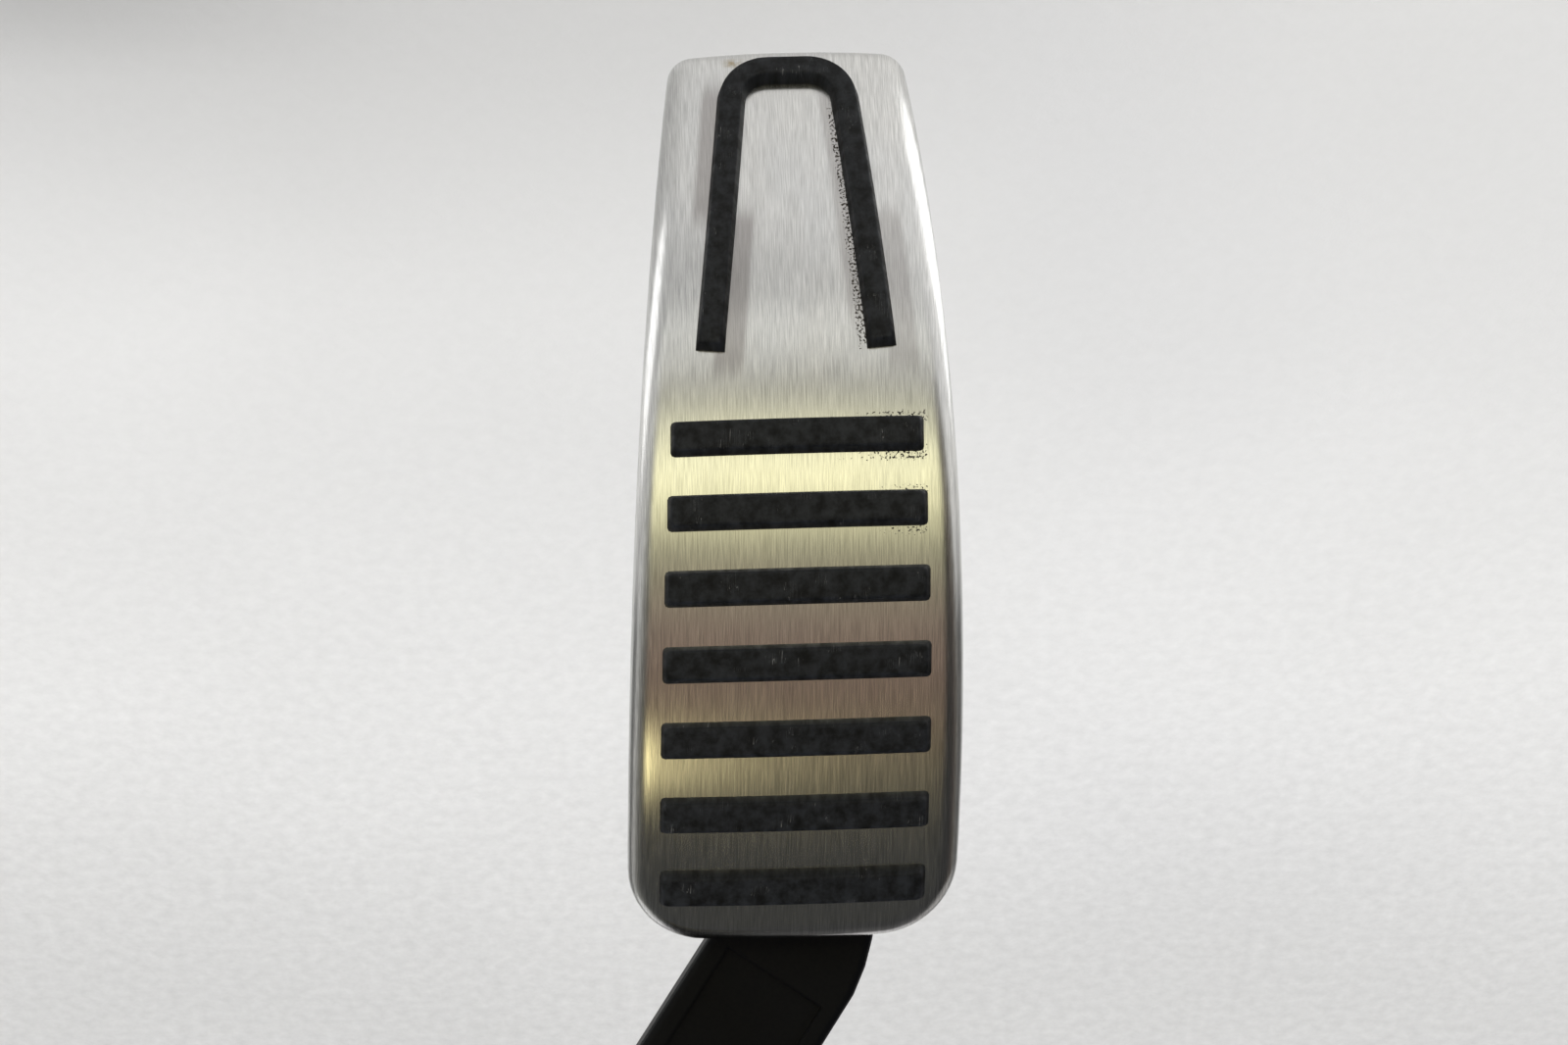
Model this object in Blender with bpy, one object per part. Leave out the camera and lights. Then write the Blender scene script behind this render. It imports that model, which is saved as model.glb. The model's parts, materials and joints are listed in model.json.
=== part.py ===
"""Suspended accelerator pedal: bulkhead housing, swinging arm, and a curved pad with a steel face.

Row frame: +X to the driver's right, +Y forward to the bulkhead, +Z up. The housing's mounting face lies
in the plane Y = 0 with its centre at the origin. The arm swings about X. All sizes are in millimetres,
and each finished mesh is scaled to metres.
"""

import math

import bmesh
import bpy
from mathutils import Matrix, Vector

MM = 0.001
CLEARANCE = 0.3  # gap between pieces that touch or nearly touch

# Pivot, and the swing of the arm
PIVOT_Y, PIVOT_Z = -40.0, 0.0
SHAFT_RADIUS = 4.0
HUB_RADIUS = 14.0
HUB_HALF_WIDTH = 16.0

# Pad: s runs along the face from its wide end, w across it, lift out of it
PAD_X = -38.0
PAD_EDGE_Y, PAD_EDGE_Z = -118.0, -100.0  # the face near the wide end, where s is 0
PAD_EDGE_TILT = math.radians(58.5)  # face direction there, from straight down towards the driver
PAD_START, PAD_LENGTH = -0.8, 154.0  # where the two ends are along the face
PAD_BEND_RADIUS = 156.0  # lengthwise radius under the bars
PAD_TAIL_START = 95.0
PAD_TAIL_RADIUS = 219.0  # lengthwise radius under the loop
PAD_CROWN_RADIUS = 350.0  # crosswise radius
PAD_HALF_WIDTH = 26.5
PAD_WIDEST = 31.0
PAD_SIDE_RADIUS = 1070.0
PAD_SWEEP = 1.5  # how far the outline's two ends bend sideways
PAD_SKEW = 0.023  # slope of the treads and ends off square
WIDE_CORNER_RADIUS = 12.5
NARROW_CORNER_RADIUS = 4.4
END_ARCH_RADIUS = 260.0
FACE_THICKNESS = 1.0
FACE_ROLL = 3.5  # radius of the rolled edge
FACE_DEPTH = 7.5  # from the face to the lower edge of its skirt
CARRIER_TOP, CARRIER_BOTTOM = -2.8, -6.6
CARRIER_INSET = FACE_THICKNESS + CLEARANCE

# Rubber treads
BAR_COUNT = 7
BAR_PITCH = 12.0
FIRST_BAR_S = 9.5  # the bar nearest the wide end
BAR_WIDTH = 4.7
BAR_SIDE_MARGIN = 5.75
TREAD_HEIGHT = 2.4
TREAD_DRAFT = 0.55  # how much wider the foot of a tread is than its top, on each side
TREAD_CORNER = 0.7
FLANGE_TOP, FLANGE_BOTTOM = -1.3, -2.5
FLANGE_SPREAD = 0.5
LOOP_START, LOOP_END = 96.6, 149.5
LOOP_WIDTH = 3.6
LOOP_MOUTH_HALF_WIDTH = 15.5  # outside, at the open end
LOOP_CROWN_HALF_WIDTH = 11.2
LOOP_CROWN_RADIUS = 8.0

# Arm
ARM_THICKNESS = 12.0
ARM_HALF_WIDTH = 12.5
ARM_EDGE_CHAMFER = 1.2
ARM_PANEL_INSET = 3.5
ARM_PANEL_DEPTH = 1.0
ARM_TOUCH_S = 48.0  # the arm's straight front is parallel to the face here
ARM_DEPTH = 15.6  # from the face to the arm's front there
ARM_TAIL = 50.0  # length of arm below ARM_TOUCH_S
ARM_BEND_T = 143.0  # along the arm from its lower end, where it turns towards the pivot
ARM_BEND_RADIUS = 60.0
ARM_LENGTH = 219.0
UPPER_TILT = math.radians(23.0)  # of the arm above its bend, from vertical
ARM_WALL = 2.8
ARM_FLOOR = ARM_WALL + ARM_PANEL_DEPTH  # from the front face to the pockets behind it
ARM_RIB = 2.4
SLANT = math.radians(33.0)
SLANT_RADIUS = 22.0
FULL_TRAVEL = math.radians(16.0)
SPRING_FLAT_Y = -44.0

# Housing
HOUSING_HALF_WIDTH = 18.0  # cavity
WALL = 3.2
CHEEK_OUT = HOUSING_HALF_WIDTH + WALL
BACK_THICKNESS = 6.0
FLANGE_THICKNESS = 5.0
BOLTS = [(0.0, 56.0), (-35.0, -44.0), (35.0, -44.0)]
EAR_RADIUS = 11.0
EAR_THICKNESS = 9.0
SLEEVE_OUTER, SLEEVE_INNER = 5.2, 3.5
COVER_SCREWS = [(-8.4, 35.0), (-62.0, 30.0), (-73.6, -22.0), (-8.4, -55.0)]
BUSH_OUTER = 6.0
BUSH_BORE = SHAFT_RADIUS + CLEARANCE
BUSH_FLANGE = 8.5

# Stops, placed along the arm
STOP_THICKNESS = 4.6
IDLE_STOP_T = 186.0
FULL_STOP_T = 162.0
TOWER_END_Y = -39.8

# Spring and plunger, on an axis along Y
SPRING_Z = -26.0
TUBE_OUTER, TUBE_INNER = 13.4, 11.2
TUBE_END_Y = -27.0
PLUNGER_OUTER, PLUNGER_INNER = 9.1, 7.9
PLUNGER_OPEN_Y = -18.0
NOSE_RADIUS = 9.0
NOSE_GAP = 0.35

# Sensor chamber on the right cheek
SENSOR_CENTRE = (-40.0, -1.0)
SENSOR_HALF = (32.0, 29.0)
SENSOR_WALL = 6.0
CHAMBER_END = 31.0
SEAL_THICKNESS = 1.0
CAP_START = CHAMBER_END + SEAL_THICKNESS + 2 * CLEARANCE
CAP_FLANGE = 2.4
CAP_END = 43.6
CAP_WALL = 2.0
SOCKET_HALF_LENGTH = 12.0
SOCKET_TOP = 46.0
PIN_COUNT = 6
PIN_PITCH = 3.0
PIN_SIZE = 0.8
PIN_X = 38.1

PLANES = {
    "YZ": lambda a, b, t: Vector((t, a, b)),
    "XZ": lambda a, b, t: Vector((a, t, b)),
    "XY": lambda a, b, t: Vector((a, b, t)),
}
AXES = {"X": Vector((1, 0, 0)), "Y": Vector((0, 1, 0)), "Z": Vector((0, 0, 1))}


# ---------------------------------------------------------------- scene and materials


def clear_scene():
    for thing in list(bpy.data.objects):
        bpy.data.objects.remove(thing)


def material(name, colour, roughness, metallic=0.0):
    made = bpy.data.materials.new(name)
    made.use_nodes = True
    shader = made.node_tree.nodes["Principled BSDF"]
    shader.inputs["Base Color"].default_value = (*colour, 1.0)
    shader.inputs["Roughness"].default_value = roughness
    shader.inputs["Metallic"].default_value = metallic
    made.diffuse_color = (*colour, 1.0)
    return made


def make_materials():
    return {
        "steel_face": material("brushed_stainless", (0.62, 0.61, 0.58), 0.32, 1.0),
        "rubber": material("black_rubber", (0.022, 0.023, 0.025), 0.7),
        "nylon": material("black_glass_filled_nylon", (0.018, 0.018, 0.019), 0.5),
        "carrier": material("black_moulded_plastic", (0.03, 0.03, 0.031), 0.55),
        "steel": material("plain_steel", (0.55, 0.55, 0.56), 0.3, 1.0),
        "spring": material("spring_steel", (0.32, 0.32, 0.34), 0.35, 1.0),
        "bronze": material("sintered_bronze", (0.55, 0.38, 0.18), 0.45, 1.0),
        "acetal": material("natural_acetal", (0.78, 0.76, 0.7), 0.45),
        "board": material("green_circuit_board", (0.02, 0.16, 0.07), 0.4),
        "chip": material("chip_plastic", (0.02, 0.02, 0.022), 0.5),
        "magnet": material("magnet", (0.2, 0.2, 0.21), 0.4, 1.0),
        "brass": material("tinned_brass", (0.75, 0.66, 0.42), 0.3, 1.0),
    }


def pivot_empty(name, y, z):
    empty = bpy.data.objects.new(name, None)
    empty.location = Vector((0, y, z)) * MM
    bpy.context.scene.collection.objects.link(empty)
    bpy.context.view_layer.update()
    return empty


def face_outwards(bm):
    bmesh.ops.recalc_face_normals(bm, faces=bm.faces)
    if bm.calc_volume(signed=True) < 0:
        bmesh.ops.reverse_faces(bm, faces=bm.faces)


def add_object(name, bm, look=None, parent=None):
    """Turns a bmesh in millimetres into an object in metres."""
    face_outwards(bm)
    bmesh.ops.scale(bm, vec=(MM, MM, MM), verts=bm.verts)
    mesh = bpy.data.meshes.new(name)
    bm.to_mesh(mesh)
    bm.free()
    thing = bpy.data.objects.new(name, mesh)
    bpy.context.scene.collection.objects.link(thing)
    dress(thing, look, parent)
    return thing


def add_numbered(name, shapes, look, parent=None):
    """Each copy of a repeated piece, as an object of its own."""
    for index, shape in enumerate(shapes):
        add_object(f"{name}_{index + 1}", shape, look, parent)


def dress(thing, look, parent):
    """Gives an object its material, its shading and the empty that it moves with."""
    if look is not None:
        thing.data.materials.clear()
        thing.data.materials.append(look)
        if thing.type == "MESH":
            thing.data.shade_smooth()
            thing.data.set_sharp_from_angle(angle=math.radians(35))
    if parent is not None:
        thing.parent = parent
        thing.matrix_parent_inverse = parent.matrix_world.inverted()


def combine(target, other, operation):
    """Applies one Boolean to target, and removes the other object."""
    modifier = target.modifiers.new(operation, "BOOLEAN")
    modifier.operation = operation
    modifier.solver = "EXACT"
    modifier.object = other
    bpy.context.view_layer.update()
    result = bpy.data.meshes.new_from_object(target.evaluated_get(bpy.context.evaluated_depsgraph_get()))
    target.modifiers.clear()
    target.data = result
    bpy.data.objects.remove(other)


def build(name, base, look, parent=None, added=(), removed=()):
    """One piece: a base shape, shapes joined to it, then shapes cut from it."""
    thing = add_object(name, base)
    for shape in added:
        combine(thing, add_object("added", shape), "UNION")
    for shape in removed:
        combine(thing, add_object("removed", shape), "DIFFERENCE")
    tidy(thing)
    dress(thing, look, parent)
    return thing


def tidy(thing):
    """Dissolves the slivers that a Boolean leaves, and triangulates what is left."""
    bm = bmesh.new()
    bm.from_mesh(thing.data)
    bmesh.ops.remove_doubles(bm, verts=bm.verts, dist=0.0005 * MM)
    bmesh.ops.dissolve_degenerate(bm, edges=bm.edges, dist=0.0005 * MM)
    bmesh.ops.triangulate(bm, faces=bm.faces)
    bm.to_mesh(thing.data)
    bm.free()


# ---------------------------------------------------------------- outlines and plain solids


def arc(centre, radius, start, end, steps):
    """Points on an arc, with start and end in degrees, both included."""
    angles = [math.radians(start + (end - start) * i / steps) for i in range(steps + 1)]
    return [(centre[0] + radius * math.cos(a), centre[1] + radius * math.sin(a)) for a in angles]


def circle(centre, radius, steps):
    return arc(centre, radius, 0, 360, steps)[:-1]


def rounded_polygon(corners, steps=5):
    """An outline from corners (a, b, radius), each rounded by its radius."""
    points = []
    count = len(corners)
    for i, (a, b, radius) in enumerate(corners):
        corner = Vector((a, b))
        before = (Vector(corners[i - 1][:2]) - corner).normalized()
        after = (Vector(corners[(i + 1) % count][:2]) - corner).normalized()
        if radius <= 0:
            points.append((a, b))
            continue
        half = before.angle(after) / 2
        reach = radius / math.tan(half)
        middle = corner + (before + after).normalized() * (radius / math.sin(half))
        first = corner + before * reach - middle
        last = corner + after * reach - middle
        sweep = math.atan2(first.cross(last), first.dot(last))
        for k in range(steps + 1):
            turned_by = Matrix.Rotation(sweep * k / steps, 2)
            points.append(tuple(middle + turned_by @ first))
    return points


def rounded_box(centre, half, radius, steps=4):
    (a, b), (da, db) = centre, half
    corners = [(a - da, b - db), (a + da, b - db), (a + da, b + db), (a - da, b + db)]
    return rounded_polygon([(*corner, radius) for corner in corners], steps)


def hull_of_circles(centres, radius, steps=6):
    """The outline round equal circles whose centres make a convex polygon, given anticlockwise."""
    points = []
    count = len(centres)
    for i, centre in enumerate(centres):
        before, after = centres[i - 1], centres[(i + 1) % count]
        start = math.degrees(math.atan2(centre[1] - before[1], centre[0] - before[0])) - 90
        end = math.degrees(math.atan2(after[1] - centre[1], after[0] - centre[0])) - 90
        points += arc(centre, radius, start, start + (end - start) % 360, steps)
    return points


def prism(outline, low, high, plane):
    """A closed outline in one plane, extruded from low to high across it."""
    place = PLANES[plane]
    bm = bmesh.new()
    base = bm.faces.new([bm.verts.new(place(a, b, low)) for a, b in outline])
    grown = bmesh.ops.extrude_face_region(bm, geom=[base])["geom"]
    shift = place(0, 0, high) - place(0, 0, low)
    bmesh.ops.translate(bm, vec=shift, verts=[g for g in grown if isinstance(g, bmesh.types.BMVert)])
    return bm


def box(low, high):
    corners = [(low[0], low[1]), (high[0], low[1]), (high[0], high[1]), (low[0], high[1])]
    return prism(corners, low[2], high[2], "XY")


def turned(profile, centre, axis, steps=24):
    """A profile of (radius, height) spun round an axis. An open one starts and ends on the axis."""
    along = AXES[axis]
    side = AXES["Z"] if axis != "Z" else AXES["X"]
    middle = Vector(centre)
    bm = bmesh.new()
    verts = [bm.verts.new(middle + side * radius + along * height) for radius, height in profile]
    edges = [bm.edges.new(pair) for pair in zip(verts, verts[1:])]
    if profile[0][0] > 0:
        edges.append(bm.edges.new((verts[-1], verts[0])))
    bmesh.ops.spin(bm, geom=verts + edges, cent=middle, axis=along, angle=2 * math.pi, steps=steps,
                   use_merge=True)
    bmesh.ops.remove_doubles(bm, verts=bm.verts, dist=0.001)
    return bm


def cylinder(centre, axis, radius, low, high, steps=24):
    return turned([(0, low), (radius, low), (radius, high), (0, high)], centre, axis, steps)


def ring(centre, axis, inner, outer, low, high, steps=24):
    return turned([(inner, low), (outer, low), (outer, high), (inner, high)], centre, axis, steps)


def merged(shapes):
    """Several separate shapes in one bmesh."""
    whole = bmesh.new()
    for shape in shapes:
        face_outwards(shape)
        mesh = bpy.data.meshes.new("shape")
        shape.to_mesh(mesh)
        shape.free()
        whole.from_mesh(mesh)
        bpy.data.meshes.remove(mesh)
    return whole


def stack(levels):
    """A closed solid from equal grids of points: the first and last are its caps, and the edges of
    neighbouring grids are joined."""
    rows, columns = len(levels[0]), len(levels[0][0])
    bm = bmesh.new()
    edge = [(0, j) for j in range(columns)]
    edge += [(k, columns - 1) for k in range(1, rows)]
    edge += [(rows - 1, j) for j in range(columns - 2, -1, -1)]
    edge += [(k, 0) for k in range(rows - 2, 0, -1)]
    rings = []
    for index, level in enumerate(levels):
        if index in (0, len(levels) - 1):
            grid = [[bm.verts.new(point) for point in row] for row in level]
            for k in range(rows - 1):
                for j in range(columns - 1):
                    bm.faces.new((grid[k][j], grid[k][j + 1], grid[k + 1][j + 1], grid[k + 1][j]))
            rings.append([grid[k][j] for k, j in edge])
        else:
            rings.append([bm.verts.new(level[k][j]) for k, j in edge])
    for upper, lower in zip(rings, rings[1:]):
        for i in range(len(edge)):
            n = (i + 1) % len(edge)
            bm.faces.new((upper[i], upper[n], lower[n], lower[i]))
    return bm


# ---------------------------------------------------------------- the pad's curved surface


def pad_angle(s):
    """Direction of the face at s, from straight down towards the driver."""
    main = min(s, PAD_TAIL_START)
    return PAD_EDGE_TILT - main / PAD_BEND_RADIUS - (s - main) / PAD_TAIL_RADIUS


def pad_point(s, w, lift):
    """A point of the pad, from its place along, across and out of the face."""
    w += PAD_SWEEP * (2 * s / PAD_LENGTH - 1) ** 2
    s -= PAD_SKEW * w
    y, z, start = PAD_EDGE_Y, PAD_EDGE_Z, PAD_EDGE_TILT
    for radius, end in ((PAD_BEND_RADIUS, min(s, PAD_TAIL_START)), (PAD_TAIL_RADIUS, s)):
        angle = pad_angle(end)
        y -= radius * (math.cos(angle) - math.cos(start))
        z += radius * (math.sin(angle) - math.sin(start))
        start = angle
    rise = lift - w * w / (2 * PAD_CROWN_RADIUS)
    return Vector((PAD_X + w, y - rise * math.cos(start), z + rise * math.sin(start)))


def side_half_width(s):
    return PAD_HALF_WIDTH - (s - PAD_WIDEST) ** 2 / (2 * PAD_SIDE_RADIUS)


def pad_half_outline(inset):
    """(s, half width) of the outline, drawn in by inset, from the wide end to the narrow one."""
    rows = []

    def end(base, sign, radius, reach):
        """The points of one end's edge, from near its middle to where its corner starts."""
        for share in reach:
            w = share * (side_half_width(base + sign * radius) - radius)
            rows.append((base + sign * (w * w / (2 * END_ARCH_RADIUS) + inset), w))

    def corner(base, sign, radius, angles):
        middle_w = side_half_width(base + sign * radius) - radius
        middle_s = base + sign * (middle_w**2 / (2 * END_ARCH_RADIUS) + radius)
        for degrees in angles:
            a = math.radians(degrees)
            reach = radius - inset
            rows.append((middle_s - sign * reach * math.cos(a), middle_w + reach * math.sin(a)))

    end(PAD_START, 1, WIDE_CORNER_RADIUS, (0.5, 1.0))
    corner(PAD_START, 1, WIDE_CORNER_RADIUS, (18, 36, 54, 72, 88))
    first, last = 17.0, PAD_LENGTH - NARROW_CORNER_RADIUS - 5.0
    count = 12
    for k in range(count + 1):
        s = first + (last - first) * k / count
        rows.append((s, side_half_width(s) - inset))
    corner(PAD_LENGTH, -1, NARROW_CORNER_RADIUS, (80, 60, 40, 20))
    end(PAD_LENGTH, -1, NARROW_CORNER_RADIUS, (1.0, 0.5))
    return rows


def symmetric_grid(rows, lift, columns):
    """Points of the pad's surface, in rows across it."""
    grid = []
    for s, half in rows:
        grid.append([pad_point(s, half * (2 * j / columns - 1), lift) for j in range(columns + 1)])
    return grid


def pad_level(inset, lift, columns=4):
    return symmetric_grid(pad_half_outline(inset), lift, columns)


def roll_levels(radius, inset, drop, angles):
    """The levels of a rolled edge, from the face out and down to where the skirt starts."""
    levels = []
    for degrees in angles:
        a = math.radians(degrees)
        levels.append((inset + radius * (1 - math.cos(a)), drop + radius * (math.sin(a) - 1)))
    return levels


# ---------------------------------------------------------------- treads and their slots


def bar_s(index):
    return FIRST_BAR_S + index * BAR_PITCH


def bar_level(index, grow, lift):
    """One level of a tread bar whose foot is grown by that much on every side."""
    s = bar_s(index)
    half_s = BAR_WIDTH / 2 + grow
    half_w = side_half_width(s) - BAR_SIDE_MARGIN + grow
    cut = TREAD_CORNER
    rows = [(s - half_s, half_w - cut), (s - half_s + cut, half_w), (s + half_s - cut, half_w),
            (s + half_s, half_w - cut)]
    return symmetric_grid(rows, lift, 4)


def loop_path():
    """Centre line of the loop in (s, w), with unit normals pointing outwards, from leg to leg."""
    half = LOOP_WIDTH / 2
    radius = LOOP_CROWN_RADIUS - half
    crown_w = LOOP_CROWN_HALF_WIDTH - LOOP_CROWN_RADIUS
    crown_s = LOOP_END - half - radius
    mouth_w = LOOP_MOUTH_HALF_WIDTH - half
    side = Vector((LOOP_START - crown_s, mouth_w - crown_w))
    lean = math.asin(radius / side.length)
    turn = math.atan2(side.y, side.x) - math.pi / 2 + lean
    path = []
    count = 6
    for k in range(count + 1):
        angle = turn * (1 - k / count)
        path.append((crown_s + radius * math.cos(angle), crown_w + radius * math.sin(angle), angle))
    normal = path[0][2]
    leg = []
    for share in (0.0, 0.25, 0.5, 0.75):
        s = LOOP_START + (path[0][0] - LOOP_START) * share
        w = mouth_w + (path[0][1] - mouth_w) * share
        leg.append((s, w, normal))
    right = leg + path
    left = [(s, -w, -angle) for s, w, angle in reversed(right)]
    return right + left


def loop_level(grow, lift):
    half = LOOP_WIDTH / 2 + grow
    path = loop_path()
    grid = []
    for k, (s, w, angle) in enumerate(path):
        stretch = -grow if k in (0, len(path) - 1) else 0.0
        across = Vector((math.cos(angle), math.sin(angle)))
        points = [(s + stretch + across.x * side, w + across.y * side) for side in (half, -half)]
        grid.append([pad_point(*point, lift) for point in points])
    return grid


def tread(level):
    """A rubber tread: drafted sides above the steel, and a wider flange that holds it from below."""
    foot = TREAD_DRAFT
    bevel = 0.35
    return stack([
        level(-bevel, TREAD_HEIGHT),
        level(0.0, TREAD_HEIGHT - bevel),
        level(foot, 0.0),
        level(foot, FLANGE_TOP),
        level(foot + FLANGE_SPREAD, FLANGE_TOP),
        level(foot + FLANGE_SPREAD, FLANGE_BOTTOM),
    ])


def slot(level):
    """The cutter for a tread's slot in the steel face."""
    grow = TREAD_DRAFT + CLEARANCE
    return stack([level(grow, 1.5), level(grow, -FACE_THICKNESS - 1.5)])


def make_pad(looks, parent):
    outer = roll_levels(FACE_ROLL, 0.0, 0.0, (90, 65, 42, 20, 0)) + [(0.0, -FACE_DEPTH)]
    inner_roll = FACE_ROLL - FACE_THICKNESS
    inner = [(FACE_THICKNESS, -FACE_DEPTH)]
    inner += reversed(roll_levels(inner_roll, FACE_THICKNESS, -FACE_THICKNESS, (90, 66, 42, 0)))
    shell = stack([pad_level(inset, lift) for inset, lift in outer + inner])
    bars = [lambda grow, lift, i=i: bar_level(i, grow, lift) for i in range(BAR_COUNT)]
    slots = [slot(level) for level in [loop_level, *bars]]
    build("steel_face", shell, looks["steel_face"], parent, removed=[merged(slots)])
    build("grip_loop", tread(loop_level), looks["rubber"], parent)
    for index, level in enumerate(bars):
        build(f"grip_bar_{index + 1}", tread(level), looks["rubber"], parent)
    make_carrier(looks, parent)


def make_carrier(looks, parent):
    """The moulded plate inside the steel face, with a saddle that sits on the arm."""
    chamfer = 1.6
    plate = stack([
        pad_level(CARRIER_INSET + chamfer, CARRIER_TOP),
        pad_level(CARRIER_INSET, CARRIER_TOP - chamfer),
        pad_level(CARRIER_INSET, CARRIER_BOTTOM),
    ])
    saddle_top = [pad_point(s, 0, CARRIER_TOP - 1.0) for s in (10, 25, 40, 55, 70, 86)]
    saddle_bottom = [arm_point(ARM_TAIL + shift, 0, CLEARANCE) for shift in (38.0, -38.0)]
    outline = [(p.y, p.z) for p in saddle_top[::-1] + saddle_bottom]
    saddle = prism(outline, PAD_X - 9.0, PAD_X + 9.0, "YZ")
    holes = [screw_hole(t, 1.5 + CLEARANCE) for t in pad_screw_places()]
    build("pad_carrier", plate, looks["carrier"], parent, added=[saddle], removed=[merged(holes)])


# ---------------------------------------------------------------- the arm


def arm_point(t, x, lift):
    """A point of the arm: t along it from its lower end, x across, lift out of its front face."""
    lower = pad_angle(ARM_TOUCH_S)
    touch = pad_point(ARM_TOUCH_S, 0, -ARM_DEPTH)
    bend = (lower - UPPER_TILT) * ARM_BEND_RADIUS
    below = min(t, ARM_BEND_T - bend / 2)
    within = max(0.0, min(t - below, bend))
    above = t - below - within
    angle = lower - within / ARM_BEND_RADIUS
    y = touch.y + (below - ARM_TAIL) * math.sin(lower) + above * math.sin(angle)
    z = touch.z + (below - ARM_TAIL) * math.cos(lower) + above * math.cos(angle)
    y -= ARM_BEND_RADIUS * (math.cos(lower) - math.cos(angle))
    z += ARM_BEND_RADIUS * (math.sin(lower) - math.sin(angle))
    return Vector((x, y - lift * math.cos(angle), z + lift * math.sin(angle)))


def arm_lane(t):
    """Where the arm's centre line lies across at t, and its lean there."""
    reach = SLANT_RADIUS * math.tan(SLANT / 2)
    first = ARM_TAIL + ARM_TOUCH_S
    second = first - PAD_X / math.tan(SLANT)
    span = SLANT_RADIUS * math.sin(SLANT)
    if t < first - reach + span:
        lean = math.asin(max(0.0, t - first + reach) / SLANT_RADIUS)
        return PAD_X + SLANT_RADIUS * (1 - math.cos(lean)), lean
    if t > second + reach - span:
        lean = math.asin(max(0.0, second + reach - t) / SLANT_RADIUS)
        return -SLANT_RADIUS * (1 - math.cos(lean)), lean
    return PAD_X + (t - first) * math.tan(SLANT), SLANT


def arm_half_width(t):
    return ARM_HALF_WIDTH - 3.0 * max(0.0, 1 - t / 12.0) ** 2 - 0.8 * max(0.0, 1 - t / 90.0)


def arm_rows(inset, lift, places, end_inset=0.0):
    grid = []
    for k, t in enumerate(places):
        x, lean = arm_lane(t)
        along = {0: end_inset, len(places) - 1: -end_inset}.get(k, 0.0)
        half = arm_half_width(t) - inset
        row = []
        for side in (-half, half):
            row.append(arm_point(t + along - side * math.sin(lean), x + side * math.cos(lean), lift))
        grid.append(row)
    return grid


def arm_places():
    return [0.0, 3.0, 8.0, 45.0, 89.5, 92.5, 95.5, 98.5, 101.4, 118.0, 131.0, 137.0, 143.0, 149.0, 153.0,
            157.0, 161.0, 190.0, ARM_LENGTH]


def arm_pockets():
    """Cutters that open the arm from behind, and leave cross ribs between them."""
    ends = [8.0, 29.0, 50.0, 71.0, 92.0, 113.0, 133.0, 151.0]
    pockets = []
    for start, end in zip(ends, ends[1:]):
        low, high = start + ARM_RIB / 2, end - ARM_RIB / 2
        places = [low + (high - low) * k / 3 for k in range(4)]
        floor, mouth = arm_rows(4.6, -ARM_FLOOR, places), arm_rows(ARM_WALL, -ARM_THICKNESS - 2.0, places)
        pockets.append(stack([floor, mouth]))
    return pockets


def arm_panel():
    """The shallow recess down the middle of the arm's front."""
    places = [104.0, 106.0, 112.0, 118.0, 126.0, 131.0, 137.0, 143.0, 149.0, 153.0, 157.0, 161.0, 166.0]
    inset = ARM_PANEL_INSET
    return stack([arm_rows(inset, 2.0, places), arm_rows(inset, -ARM_PANEL_DEPTH, places)])


def pad_screw_places():
    return (ARM_TAIL - 10.0, ARM_TAIL + 11.0)


def screw_frame(t):
    """Places a shape made along Z at the arm's front face, with Z out of the face."""
    angle = pad_angle(ARM_TOUCH_S)
    out = Vector((0, -math.cos(angle), math.sin(angle)))
    return Matrix.Translation(arm_point(t, PAD_X, 0)) @ out.to_track_quat("Z", "Y").to_matrix().to_4x4()


def screw_hole(t, radius):
    shape = cylinder((0, 0, 0), "Z", radius, -ARM_FLOOR - 1.0, 8.4, 12)
    shape.transform(screw_frame(t))
    return shape


def pad_screw(t):
    seat = -ARM_FLOOR - CLEARANCE
    profile = [(0, seat - 2.8), (2.6, seat - 2.8), (3.0, seat - 2.4), (3.0, seat), (1.5, seat), (1.5, 6.8),
               (0.9, 7.8), (0, 7.8)]
    shape = turned(profile, (0, 0, 0), "Z", 12)
    shape.transform(screw_frame(t))
    return shape


def make_arm(looks, parent):
    places = arm_places()
    chamfer = ARM_EDGE_CHAMFER
    beam = stack([
        arm_rows(chamfer, 0.0, places, chamfer),
        arm_rows(chamfer * 0.3, -chamfer * 0.3, places, chamfer * 0.3),
        arm_rows(0.0, -chamfer, places),
        arm_rows(0.0, -ARM_THICKNESS, places),
    ])
    hub = cylinder((0, PIVOT_Y, PIVOT_Z), "X", HUB_RADIUS, -HUB_HALF_WIDTH, HUB_HALF_WIDTH, 32)
    heel_outline = [(SPRING_FLAT_Y - 8.0, -6.0), (SPRING_FLAT_Y - 16.0, -46.0), (SPRING_FLAT_Y - 2.0, -39.0),
                    (SPRING_FLAT_Y, -37.0), (SPRING_FLAT_Y, -15.0), (PIVOT_Y + 8.0, -8.0)]
    heel = prism(heel_outline, -12.6, 12.6, "YZ")
    bore = cylinder((0, PIVOT_Y, PIVOT_Z), "X", BUSH_BORE, -HUB_HALF_WIDTH - 1, HUB_HALF_WIDTH + 1, 24)
    holes = [screw_hole(t, 1.5 + CLEARANCE) for t in pad_screw_places()]
    build("pedal_arm", beam, looks["nylon"], parent, added=[hub, heel],
          removed=[merged(arm_pockets()), merged(holes), bore, arm_panel()])
    add_numbered("pad_screw", [pad_screw(t) for t in pad_screw_places()], looks["steel"], parent)


# ---------------------------------------------------------------- housing and side cover


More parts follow.
